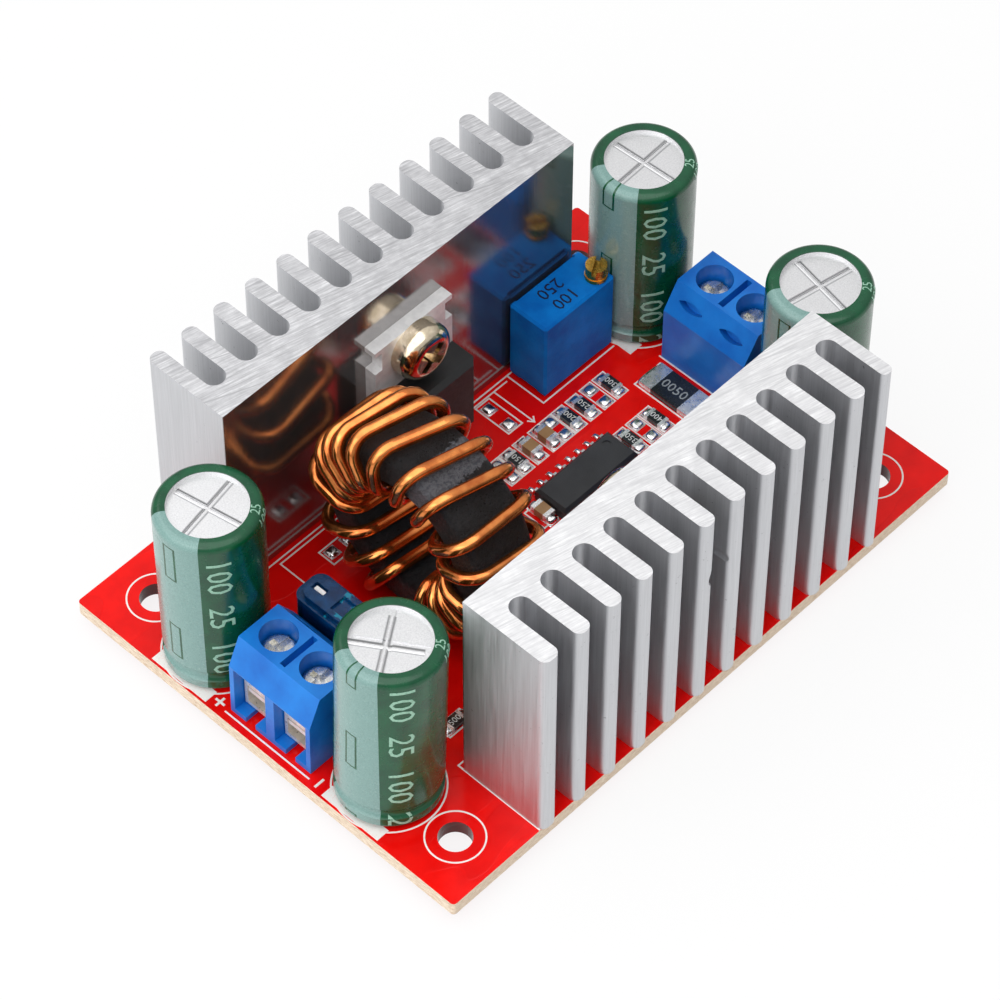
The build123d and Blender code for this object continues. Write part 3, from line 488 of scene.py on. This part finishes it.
def enamelled_copper():
    """Copper wire under a thin clear enamel."""
    finish = Finish("enamelled_copper", metallic=0.94, coat_weight=0.35, coat_roughness=0.08)
    finish.set(coat_tint=(255, 216, 180))
    tone = finish.varied(finish.noise(1.6, 4))
    finish.set(base_color=finish.blend(tone, (188, 100, 44), (240, 160, 88)))
    finish.set(roughness=finish.varied(finish.noise(0.4, 4), 0.14, 0.24))
    finish.set(normal=finish.relief(finish.noise(0.8, 2), 0.02, 0.2))
    return finish


def ring_core():
    """Charcoal powder core with a dull painted patch on the rim, between two turns of wire."""
    finish = Finish("ring_core", specular_ior_level=0.5)
    _, y, z = finish.axes(finish.mapped(shift=(0, -TOROID_Y, -TOROID_Z)))
    grain = finish.noise(0.3, 6, rough=0.75)
    blotch = finish.noise(2.2, 5, rough=0.7)
    ragged = finish.times(finish.noise(0.5, 5, rough=0.8), 0.22)
    angle = finish.plus(finish.compute("ARCTAN2", z, y), ragged)
    past_start = finish.above(angle, math.radians(PATCH_START))
    patch = finish.times(past_start, finish.below(angle, math.radians(PATCH_END)))
    black = finish.blend(finish.spread(blotch, 0.42, 0.66), (16, 17, 19), (36, 37, 40))
    black = finish.blend(finish.spread(grain, 0.5, 0.7), black, (10, 10, 11))
    paint = finish.blend(finish.spread(grain, 0.42, 0.6), (122, 124, 130), (78, 82, 90))
    finish.set(base_color=finish.blend(finish.times(patch, 0.85), black, paint))
    finish.set(roughness=finish.spread(grain, 0.35, 0.65, 0.22, 0.6))
    finish.set(normal=finish.relief(grain, 0.6, 1.0, finish.relief(blotch, 0.5, 0.5)))
    return finish


def clear_blue_fuse():
    """Clear blue plastic with painted shade lower down, and pale glints painted where light gathers in the
    pockets on top.
    """
    finish = Finish("clear_blue_fuse", transmission_weight=0.6, ior=1.45, specular_ior_level=0.35)
    _, y, z = finish.axes(finish.mapped(shift=(-FUSE_X, -FUSE_Y, -FUSE_TOP)))
    # Painted shade: the plastic is darker lower down, where its sides lie in shade
    painted_shade_by_height = finish.blend(finish.spread(z, -4.5, 0.0), (0, 26, 66), (10, 92, 156))
    swirl = finish.spread(finish.noise(1.1, 4, rough=0.65), 0.4, 0.62, 0.0, 0.7)
    body = finish.blend(swirl, painted_shade_by_height, (2, 52, 104))
    # Painted glints: pale cyan spots in the pockets on top
    in_pocket = finish.below(finish.distance(y), FUSE_POCKET_HALF)
    glint = finish.spread(finish.noise(0.9, 2, stretch=(1, 0.7, 1)), 0.54, 0.62)
    glow = finish.times(finish.times(in_pocket, glint), finish.above(z, -0.6))
    finish.set(base_color=finish.blend(glow, body, (30, 186, 228)))
    finish.set(roughness=finish.varied(finish.noise(0.5, 3), 0.08, 0.18))
    finish.set(normal=finish.relief(finish.noise(0.5, 3), 0.08, 0.5))
    return finish


def ink(name, fresh, worn, size=0.2, rubbed=(0.5, 0.75), roughness=(0.3, 0.45), depth=0.015, gloss=0.3):
    """Printing ink, worn through in places to what is under it."""
    finish = Finish(name, specular_ior_level=gloss)
    wear = finish.noise(size, 4, rough=0.7)
    finish.set(base_color=finish.blend(finish.spread(wear, *rubbed), fresh, worn))
    finish.set(roughness=finish.varied(wear, *roughness))
    finish.set(normal=finish.relief(wear, depth, 0.4))
    return finish


# Every solid gets its finish

def use(finish, *names):
    """Gives the named solids a finish."""
    for name in names:
        materials = nodes[name].data.materials
        materials.clear()
        materials.append(finish.material)


def of_each(owners, piece):
    """The names of the same piece of several owners."""
    return [owner + "_" + piece for owner in owners]


def of_each_way(piece):
    """The names of the same piece in each way of the two terminals."""
    return [end + "_clamp_" + piece + "_" + way for end in ("input", "output") for way in ("a", "b")]


TRIMMERS = ("rear_trimmer", "front_trimmer")
TERMINALS = ("input_terminal", "output_terminal")
PACKAGES = ("rectifier", "mosfet")

rear_cut = ((172, 172, 175), (232, 232, 234))
front_cut = ((206, 206, 208), (246, 246, 247))
rear_bar = sawn_aluminium("rear_bar_aluminium", *rear_cut, (214, 215, 218), (160, 157, 156), 0.1)
front_bar = sawn_aluminium("front_bar_aluminium", *front_cut, (212, 213, 216), (186, 187, 190), 0.2)
tinned_steel = bright_metal("tinned_steel", (176, 177, 180), (216, 216, 217), 0.22)
solder = bright_metal("solder", (216, 216, 217), (248, 248, 248), 0.26, 0.06, 0.5, metallic=0.85)
tab_nickel = bright_metal("tab_nickel", (228, 228, 229), (250, 250, 250), 0.4, metallic=0.4)
screw_nickel = bright_metal("screw_nickel", (204, 188, 160), (244, 230, 206), 0.12)
contact_nickel = bright_metal("contact_nickel", (226, 218, 204), (250, 245, 234), 0.36, metallic=0.55)
cage_nickel = bright_metal("cage_nickel", (222, 214, 200), (250, 246, 236), 0.3, 0.04, metallic=0.6)
screw_steel = bright_metal("screw_steel", (198, 196, 190), (236, 235, 231), 0.24, 0.012, 0.5)
trimmer_brass = bright_metal("trimmer_brass", (164, 116, 40), (222, 174, 86), 0.24, 0.05)
bung_rubber = moulded("bung_rubber", (18, 18, 19), (34, 33, 33), 0.6)
package_black = moulded("package_black", (16, 16, 17), (30, 30, 32), 0.42, 0.04, 0.25)
terminal_blue = moulded("terminal_blue", (10, 98, 190), (22, 126, 216), 0.36, specular_ior_level=0.34)
trimmer_blue = moulded(
    "trimmer_blue", (2, 92, 176), (8, 128, 214), 0.45, 0.05, 0.3, specular_ior_level=0.1
)
controller_black = moulded("controller_black", (30, 31, 34), (46, 47, 50), 0.42, 0.05, 0.2)
resistor_black = moulded(
    "resistor_black", (16, 18, 20), (34, 38, 42), 0.24, 0.03, 0.3, coat_weight=0.3
)
ceramic_brown = moulded("ceramic_brown", (150, 112, 72), (176, 138, 94), 0.34, 0.04, 0.3)

use(red_solder_mask(), "circuit_board")
use(rear_bar, "rear_heatsink")
use(front_bar, "front_heatsink")
for capacitor, (centre_x, centre_y, bar_shift, cross_turn, _, _) in CAPACITORS.items():
    use(capacitor_sleeve(capacitor + "_sleeve_print", centre_x, centre_y, bar_shift), capacitor + "_sleeve")
    use(can_aluminium(capacitor + "_can_top", centre_x, centre_y, cross_turn), capacitor + "_can")
use(bung_rubber, *of_each(CAPACITORS, "bung"))
use(tinned_steel, "heatsink_pins", "fuse_element", "controller_leads")
use(tinned_steel, *of_each(TRIMMERS, "pins"), *of_each(CAPACITORS, "leads"))
use(solder, "solder_joints", "tinned_pads", "shunt_terminals", "chip_resistor_ends", "chip_capacitor_ends")
use(tab_nickel, *of_each(PACKAGES, "tab"))
use(screw_nickel, *of_each(PACKAGES, "screw"))
use(package_black, *of_each(PACKAGES, "body"))
use(enamelled_copper(), "toroid_winding")
use(ring_core(), "toroid_core")
use(clear_blue_fuse(), "fuse_body")
use(terminal_blue, *of_each(TERMINALS, "housing"))
use(contact_nickel, *of_each(TERMINALS, "contacts"))
use(screw_steel, *of_each_way("screw"))
use(cage_nickel, *of_each_way("cage"))
use(trimmer_blue, *of_each(TRIMMERS, "housing"))
use(trimmer_brass, *of_each(TRIMMERS, "screw"))
use(controller_black, "controller_body")
use(resistor_black, "shunt_body", "chip_resistor_bodies")
use(ceramic_brown, "chip_capacitor_bodies")


# Shapes, all drawn in millimetres

def finished(shape, name, finish, smooth=False):
    """Turns a shape into a piece with its finish, which rides on the module."""
    bmesh.ops.scale(shape, verts=shape.verts, vec=(MM, MM, MM))
    mesh = bpy.data.meshes.new(name)
    shape.to_mesh(mesh)
    shape.free()
    for polygon in mesh.polygons:
        polygon.use_smooth = smooth
    piece = bpy.data.objects.new(name, mesh)
    bpy.context.scene.collection.objects.link(piece)
    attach(piece, "module")
    mesh.materials.append(finish.material)


def thicken(shape):
    """Gives flat faces that look up the thickness of ink."""
    raised = bmesh.ops.extrude_face_region(shape, geom=shape.faces[:], use_keep_orig=True)
    lifted = [item for item in raised["geom"] if isinstance(item, bmesh.types.BMVert)]
    bmesh.ops.translate(shape, verts=lifted, vec=(0, 0, INK_HEIGHT))
    bmesh.ops.recalc_face_normals(shape, faces=shape.faces)


def joined(shapes):
    """One shape that holds all the given ones."""
    whole = bmesh.new()
    for shape in shapes:
        mesh = bpy.data.meshes.new("part")
        shape.to_mesh(mesh)
        shape.free()
        whole.from_mesh(mesh)
        bpy.data.meshes.remove(mesh)
    return whole


def placed(shape, x, y, z, turn=0):
    """The shape, turned about +Z by some degrees and then moved."""
    place = Matrix.Translation((x, y, z)) @ Matrix.Rotation(math.radians(turn), 4, "Z")
    bmesh.ops.transform(shape, matrix=place, verts=shape.verts)
    return shape


# Printed marks, drawn flat just above the board and given the thickness of ink

class Print:
    """Marks of one ink on the board, each a little above the last so that none share a plane."""

    def __init__(self):
        self.shape = bmesh.new()
        self.level = BOARD_TOP

    def lifted(self, x, y):
        """The middle of the next mark, a little higher than the last one."""
        self.level += MARK_STEP
        return Matrix.Translation((x, y, self.level))

    def field(self, middle, length, width, turn=0.0):
        """A filled rectangle, turned by an angle in radians."""
        place = self.lifted(*middle) @ Matrix.Rotation(turn, 4, "Z") @ Matrix.Diagonal((length, width, 1, 1))
        return bmesh.ops.create_grid(self.shape, x_segments=1, y_segments=1, size=0.5, matrix=place)

    def patch(self, x0, x1, y0, y1):
        """A filled rectangle between its ends along x and y."""
        return self.field(((x0 + x1) / 2, (y0 + y1) / 2), x1 - x0, y1 - y0)

    def line(self, *points, width=INK_WIDTH):
        """Straight strokes from point to point."""
        for start, end in zip(points, points[1:]):
            run = Vector(end) - Vector(start)
            middle = ((start[0] + end[0]) / 2, (start[1] + end[1]) / 2)
            self.field(middle, run.length + width, width, math.atan2(run.y, run.x))

    def frame(self, x0, x1, y0, y1, width=INK_WIDTH):
        """The outline of a rectangle."""
        made = self.patch(x0, x1, y0, y1)
        faces = list({face for vert in made["verts"] for face in vert.link_faces})
        bmesh.ops.inset_region(
            self.shape, faces=faces, thickness=width, use_boundary=True, use_even_offset=True
        )
        bmesh.ops.delete(self.shape, geom=faces, context="FACES")

    def ring(self, x, y, radius):
        """A circle of ink."""
        place = self.lifted(x, y)
        edges = []
        for size in (radius - INK_WIDTH / 2, radius + INK_WIDTH / 2):
            made = bmesh.ops.create_circle(
                self.shape, segments=RING_SEGMENTS, radius=size, matrix=place
            )
            edges += list({edge for vert in made["verts"] for edge in vert.link_edges})
        bmesh.ops.bridge_loops(self.shape, edges=edges)

    def minus_sign(self, x, y):
        """A minus sign."""
        self.line((x - SIGN_REACH, y), (x + SIGN_REACH, y), width=SIGN_WIDTH)

    def plus_sign(self, x, y):
        """A plus sign."""
        self.minus_sign(x, y)
        self.line((x, y - SIGN_REACH), (x, y + SIGN_REACH), width=SIGN_WIDTH)

    def thick_shape(self):
        """All marks with their faces up, and with the thickness of ink."""
        bmesh.ops.recalc_face_normals(self.shape, faces=self.shape.faces)
        for face in self.shape.faces:
            if face.normal.z < 0:
                face.normal_flip()
        thicken(self.shape)
        return self.shape


def board_print(finish):
    """Rings, fields, lines and frames round the pieces, and signs at the terminals."""
    marks = Print()
    for side_x in SIDES:
        for side_y in SIDES:
            marks.ring(side_x * HOLE_X, side_y * HOLE_Y, HOLE_RING_RADIUS)
            marks.ring(side_x * CAPACITOR_X, side_y * CAPACITOR_Y, CAPACITOR_RING_RADIUS)
    for side_y in SIDES:
        low, high = sorted(side_y * y for y in LEAD_FIELD_SPAN)
        for x0, x1 in LEAD_FIELDS:
            marks.patch(x0, x1, low, high)
    for points in PRINTED_LINES:
        marks.line(*points)
    marks.frame(*SHUNT_FRAME)
    marks.line(*ARROW_SHAFT)
    marks.line(*ARROW_HEAD)
    rear_row = (*REAR_RESISTORS, *REAR_CAPACITORS, *REAR_BARE_PADS)
    front_row = (*FRONT_RESISTORS, *FRONT_BARE_PADS)
    for row, ends in ((rear_row, REAR_ROW_FRAME), (front_row, FRONT_ROW_FRAME)):
        for x in sorted(row, reverse=True):
            marks.frame(x - CHIP_FRAME_HALF, x + CHIP_FRAME_HALF, *ends, width=FINE_INK_WIDTH)
    for ends in LONE_FRAMES:
        marks.frame(*ends)
    for (minus_x, minus_y), (plus_x, plus_y) in zip(MINUS_SIGNS, PLUS_SIGNS):
        marks.minus_sign(minus_x, minus_y)
        marks.plus_sign(plus_x, plus_y)
    finished(marks.thick_shape(), "board_print", finish)


# Numbers, drawn with the built-in letters and given the thickness of ink

def numbers(text, height):
    """Digits centred on the origin, with tops towards +Y."""
    curve = bpy.data.curves.new("digits", "FONT")
    curve.body = text
    curve.resolution_u = 2
    holder = bpy.data.objects.new("digits", curve)
    bpy.context.scene.collection.objects.link(holder)
    view = bpy.context.evaluated_depsgraph_get()
    mesh = bpy.data.meshes.new_from_object(holder.evaluated_get(view))
    shape = bmesh.new()
    shape.from_mesh(mesh)
    bpy.data.objects.remove(holder)
    bpy.data.curves.remove(curve)
    bpy.data.meshes.remove(mesh)
    low = Vector([min(vert.co[axis] for vert in shape.verts) for axis in range(3)])
    high = Vector([max(vert.co[axis] for vert in shape.verts) for axis in range(3)])
    growth = height / (high.y - low.y)
    bmesh.ops.translate(shape, verts=shape.verts, vec=-(low + high) / 2)
    bmesh.ops.scale(shape, verts=shape.verts, vec=(growth, growth, growth))
    bmesh.ops.remove_doubles(shape, verts=shape.verts, dist=height / 1000)
    thicken(shape)
    return shape


def sleeve_point(down, out):
    """Radius and height of a point on the sleeve, by its distance down from the shoulder's upper edge."""
    flat_radius = SLEEVE_RADIUS - SLEEVE_SHOULDER
    if down < 0:
        return flat_radius + down, SLEEVE_TOP + out
    if down < SLEEVE_BEND:
        bend = down / SLEEVE_SHOULDER
        reach = SLEEVE_SHOULDER + out
        return flat_radius + reach * math.sin(bend), SLEEVE_TOP - SLEEVE_SHOULDER + reach * math.cos(bend)
    height = SLEEVE_TOP - SLEEVE_SHOULDER - (down - SLEEVE_BEND)
    radius = SLEEVE_RADIUS
    from_neck = height - NECK_HEIGHT
    if abs(from_neck) < NECK_RADIUS:
        neck = radius - NECK_DEPTH + NECK_RADIUS - math.sqrt(NECK_RADIUS**2 - from_neck**2)
        radius = min(radius, neck)
    return radius + out, height


def wrapped(shape, turn, start):
    """Bends flat digits round a sleeve, with +X to the right as seen from outside."""
    def cut(place, across, **keep):
        """Cuts the digits by a plane through a place."""
        everything = shape.verts[:] + shape.edges[:] + shape.faces[:]
        bmesh.ops.bisect_plane(shape, geom=everything, plane_co=place, plane_no=across, **keep)

    cut((0, start - SLEEVE_LENGTH, 0), (0, -1, 0), clear_outer=True)
    bmesh.ops.holes_fill(shape, edges=[edge for edge in shape.edges if edge.is_boundary])
    reach = int(max(abs(vert.co.x) for vert in shape.verts) / WRAP_STEP) + 1
    for count in range(-reach, reach + 1):
        cut((count * WRAP_STEP, 0, 0), (1, 0, 0))
    for middle in (SHOULDER_MIDDLE, SLEEVE_LENGTH + SLEEVE_FOOT - NECK_HEIGHT):
        for count in range(-BEND_CUTS, BEND_CUTS + 1):
            cut((0, start - middle - count * BEND_STEP, 0), (0, 1, 0))
    for vert in shape.verts:
        radius, height = sleeve_point(start - vert.co.y, vert.co.z)
        angle = math.radians(turn) - vert.co.x / SLEEVE_RADIUS
        vert.co = (-radius * math.cos(angle), radius * math.sin(angle), height)
    return shape


def sleeve_numbers(finish):
    """A column of numbers down each sleeve, and two small ones at its rim."""
    shapes = []
    for centre_x, centre_y, _, _, lean, start in CAPACITORS.values():
        column = placed(numbers(COLUMN_NUMBERS, COLUMN_NUMBER_HEIGHT), 0, 0, SKIN_GAP, -90)
        half_length = max(vert.co.y for vert in column.verts)
        pieces = [wrapped(column, COLUMN_TURN, start + half_length + COLUMN_DROP)]
        for text, turn, rim_start in RIM_NUMBERS:
            rim_numbers = placed(numbers(text, RIM_NUMBER_HEIGHT), 0, 0, SKIN_GAP)
            pieces.append(wrapped(rim_numbers, turn, rim_start))
        place = Matrix.Translation((centre_x, centre_y, BOARD_TOP))
        tilt = Matrix.Rotation(math.radians(lean), 4, "Y")
        for shape in pieces:
            bmesh.ops.transform(shape, matrix=place @ tilt, verts=shape.verts)
        shapes += pieces
    finished(joined(shapes), "sleeve_numbers", finish)


def chip_numbers(finish):
    """The numbers on the chip resistors."""
    top = PAD_TOP + CHIP_HEIGHT + SKIN_GAP / 2
    shapes = []
    for resistors, y in ((REAR_RESISTORS, REAR_ROW_Y), (FRONT_RESISTORS, FRONT_ROW_Y)):
        for x, text in resistors.items():
            shapes.append(placed(numbers(text, CHIP_NUMBER_HEIGHT), x, y, top, 90))
    shapes.append(placed(numbers("500", CHIP_NUMBER_HEIGHT), *LONE_RESISTOR, top))
    finished(joined(shapes), "chip_numbers", finish)


def shunt_numbers(finish):
    """The numbers on the shunt resistor."""
    top = PAD_TOP + SHUNT_HEIGHT + SKIN_GAP / 2
    shape = placed(numbers("0050", SHUNT_NUMBER_HEIGHT), SHUNT_X, SHUNT_Y, top, -90)
    finished(shape, "shunt_numbers", finish)


def trimmer_numbers(finish):
    """Two rows of numbers on each trimmer."""
    top = TRIMMER_TOP + SKIN_GAP / 2
    shapes = []
    for side in SIDES:
        for text, behind in TRIMMER_NUMBERS:
            row = numbers(text, TRIMMER_NUMBER_HEIGHT)
            shapes.append(placed(row, TRIMMER_NUMBER_X, side * TRIMMER_Y + behind, top, 180))
    finished(joined(shapes), "trimmer_numbers", finish)


# Solder: pillows on the bare pads and against the ends of the chips

def pillow(x, y, length, width, height):
    """A dome of solder on a pad, fuller than a ball towards the corners of the pad."""
    shape = bmesh.new()
    bmesh.ops.create_uvsphere(
        shape, u_segments=PILLOW_SEGMENTS, v_segments=PILLOW_SEGMENTS // 2, radius=1
    )
    below = [vert for vert in shape.verts if vert.co.z < -EQUATOR_MARGIN]
    bmesh.ops.delete(shape, geom=below, context="VERTS")
    for vert in shape.verts:
        across, along = (math.copysign(abs(value) ** PILLOW_FULLNESS, value) for value in vert.co.xy)
        sag = 1 + PILLOW_SAG * math.sin(3 * across + x) * math.cos(2 * along + y)
        vert.co = (x + across * length / 2, y + along * width / 2, PAD_TOP + vert.co.z * height * sag)
    bmesh.ops.holes_fill(shape, edges=[edge for edge in shape.edges if edge.is_boundary])
    bmesh.ops.recalc_face_normals(shape, faces=shape.faces)
    return shape


def pair_of_pillows(x, y, out, length, width, height):
    """Two pillows, in front of a point and behind it."""
    return [pillow(x, y + side * out, length, width, height) for side in SIDES]


def pad_solder(finish):
    """The solder on bare pads, at both ends of each chip, and along the controller's leads."""
    shapes = []
    for x in REAR_BARE_PADS:
        shapes += pair_of_pillows(x, REAR_ROW_Y, CHIP_PAD_OUT, *BARE_PAD_SOLDER)
    for x in FRONT_BARE_PADS:
        shapes += pair_of_pillows(x, FRONT_ROW_Y, CHIP_PAD_OUT, *BARE_PAD_SOLDER)
    shapes += [pillow(x, y, *SQUARE_PAD_SOLDER) for x, y in LONE_BARE_PADS]
    chips = [(x, REAR_ROW_Y, RESISTOR_SOLDER_HEIGHT) for x in REAR_RESISTORS]
    chips += [(x, FRONT_ROW_Y, RESISTOR_SOLDER_HEIGHT) for x in FRONT_RESISTORS]
    chips += [(x, REAR_ROW_Y, CAPACITOR_SOLDER_HEIGHT) for x in REAR_CAPACITORS]
    chips.append((*LONE_CAPACITOR, CAPACITOR_SOLDER_HEIGHT))
    for x, y, height in chips:
        shapes += pair_of_pillows(x, y, CHIP_END_OUT, *CHIP_END_SOLDER, height)
    x, y = LONE_RESISTOR
    width, length = CHIP_END_SOLDER
    for side in SIDES:
        shapes.append(pillow(x + side * CHIP_END_OUT, y, length, width, RESISTOR_SOLDER_HEIGHT))
    shapes += pair_of_pillows(SHUNT_X, SHUNT_Y, SHUNT_END_OUT, *SHUNT_SOLDER)
    for count in range(CONTROLLER_LEADS_A_SIDE):
        x = CONTROLLER_X + (count - (CONTROLLER_LEADS_A_SIDE - 1) / 2) * CONTROLLER_PITCH
        shapes += pair_of_pillows(x, CONTROLLER_Y, CONTROLLER_LEAD_OUT, *LEAD_SOLDER)
    finished(joined(shapes), "pad_solder", finish, smooth=True)


def fuse_test_tabs(finish):
    """The narrow tops of the blades, which a meter's probe reaches through the slots."""
    def rounded(tab, edges, offset, segments):
        """Rounds some edges of a tab."""
        bmesh.ops.bevel(
            tab, geom=edges, offset=offset, segments=segments, profile=0.5, affect="EDGES", material=-1
        )

    middle_z = FUSE_BLADE_TOP + SKIN_GAP + FUSE_TAB_HEIGHT / 2
    shapes = []
    for side in SIDES:
        tab = bmesh.new()
        bmesh.ops.create_cube(tab, size=1)
        size = (FUSE_TAB_THICKNESS, FUSE_TAB_WIDTH, FUSE_TAB_HEIGHT)
        bmesh.ops.scale(tab, verts=tab.verts, vec=size)
        upright = [edge for edge in tab.edges if edge.verts[0].co.z * edge.verts[1].co.z < 0]
        rounded(tab, upright, FUSE_TAB_CORNER, 3)
        top = [edge for edge in tab.edges if min(vert.co.z for vert in edge.verts) > 0]
        rounded(tab, top, FUSE_TAB_RIM, 2)
        shapes.append(placed(tab, FUSE_X, FUSE_Y + side * FUSE_TAB_OUT, middle_z))
    finished(joined(shapes), "fuse_test_tabs", finish)


board_print(
    ink("white_ink", (240, 236, 232), (236, 190, 184), 0.25, (0.55, 0.8), (0.34, 0.5), 0.02, gloss=0.4)
)
fuse_test_tabs(bright_metal("tab_tin", (236, 236, 236), (255, 255, 255), 0.4, metallic=0.4))
sleeve_numbers(ink("sleeve_print", (150, 192, 170), (96, 150, 122)))
chip_numbers(ink("chip_print", (226, 226, 222), (150, 150, 150)))
shunt_numbers(ink("shunt_print", (156, 162, 164), (96, 100, 104)))
trimmer_numbers(ink("trimmer_print", (8, 20, 52), (8, 44, 96)))
pad_solder(bright_metal("fresh_solder", (216, 216, 217), (250, 250, 250), 0.16, 0.05, 0.4))


# Stage, lamps and camera

def white_floor():
    """Paper that keeps shadows, glows a little to the camera and in mirrors, and is clear from below."""
    finish = Finish("white_floor", roughness=0.9)
    finish.shader.inputs["Base Color"].default_value = (FLOOR_WHITE, FLOOR_WHITE, FLOOR_WHITE, 1)
    path = finish.node("ShaderNodeLightPath").outputs
    seen = finish.compute("MAXIMUM", path["Is Camera Ray"], path["Is Glossy Ray"])
    glow = finish.node("ShaderNodeEmission", {"Strength": 1.0}).outputs[0]
    paper = finish.mix_shader(finish.times(seen, FLOOR_GLOW), finish.shader.outputs[0], glow)
    from_below = finish.node("ShaderNodeNewGeometry").outputs["Backfacing"]
    clear = finish.node("ShaderNodeBsdfTransparent").outputs[0]
    surface = finish.tree.nodes["Material Output"].inputs["Surface"]
    finish.feed(surface, finish.mix_shader(from_below, paper, clear))
    return finish


def white_stage():
    """The floor under the module."""
    shape = bmesh.new()
    bmesh.ops.create_grid(shape, x_segments=1, y_segments=1, size=FLOOR_REACH)
    bmesh.ops.translate(shape, verts=shape.verts, vec=(0, 0, -FLOOR_DROP * MM))
    mesh = bpy.data.meshes.new("floor")
    shape.to_mesh(mesh)
    shape.free()
    floor = bpy.data.objects.new("floor", mesh)
    bpy.context.scene.collection.objects.link(floor)
    mesh.materials.append(white_floor().material)


def studio_world():
    """White to the camera and through clear plastic, dimmer as a lamp, and darker low down in mirrors."""
    world = bpy.data.worlds.new("studio")
    bpy.context.scene.world = world
    world.use_nodes = True
    tree = world.node_tree
    back = tree.nodes["Background"]
    back.inputs["Color"].default_value = (1, 1, 1, 1)

    def mixed(share, first, second):
        """The first value where share is 0, and the second where it is 1."""
        made = tree.nodes.new("ShaderNodeMix")
        for socket, value in zip((made.inputs[0], made.inputs[2], made.inputs[3]), (share, first, second)):
            if isinstance(value, float):
                socket.default_value = value
            else:
                tree.links.new(value, socket)
        return made.outputs[0]

    path = tree.nodes.new("ShaderNodeLightPath").outputs
    direction = tree.nodes.new("ShaderNodeSeparateXYZ")
    tree.links.new(tree.nodes.new("ShaderNodeTexCoord").outputs["Generated"], direction.inputs[0])
    mirrored = mixed(direction.outputs["Z"], MIRRORED_LOW, MIRRORED_HIGH)
    lit = mixed(path["Is Glossy Ray"], WORLD_LIGHT, mirrored)
    seen = mixed(path["Is Transmission Ray"], lit, 1.0)
    tree.links.new(mixed(path["Is Camera Ray"], seen, 1.0), back.inputs["Strength"])


def softbox(name, place, aim, size, power):
    """A rectangular lamp, with its place and size in metres and its power in watts."""
    lamp = bpy.data.lights.new(name, "AREA")
    lamp.shape = "RECTANGLE"
    lamp.size, lamp.size_y = size
    lamp.energy = power
    holder = bpy.data.objects.new(name, lamp)
    bpy.context.scene.collection.objects.link(holder)
    turn = (Vector(aim) - Vector(place)).to_track_quat("-Z", "Y")
    holder.matrix_world = Matrix.Translation(place) @ turn.to_matrix().to_4x4()


def photo_camera():
    """The camera that took the photograph, worked out from the board's corners and holes."""
    right = Vector((0.68887, -0.72486, 0.00561))
    up = Vector((0.56849, 0.54503, 0.61624))
    back = Vector((-0.44975, -0.42132, 0.78754))
    place = Vector((-192.764, -180.759, 346.101)) * MM
    camera = bpy.data.cameras.new("photo_camera")
    camera.sensor_width = 36
    camera.lens = 168.13
    camera.shift_x = -0.0205
    camera.clip_start = 0.01
    holder = bpy.data.objects.new("photo_camera", camera)
    bpy.context.scene.collection.objects.link(holder)
    turn = Matrix((right, up, back)).transposed()
    holder.matrix_world = Matrix.Translation(place) @ turn.to_4x4()
    bpy.context.scene.camera = holder


white_stage()
studio_world()
softbox("overhead_softbox", place=(-0.32, 0.02, 0.55), aim=(-0.32, 0.02, 0), size=(0.95, 1.1), power=4.6)
softbox("left_softbox", place=(-0.5, 0.02, 0.3), aim=(0, 0, 0.01), size=(0.45, 0.45), power=0.9)
photo_camera()
bpy.context.scene.view_settings.view_transform = "Standard"
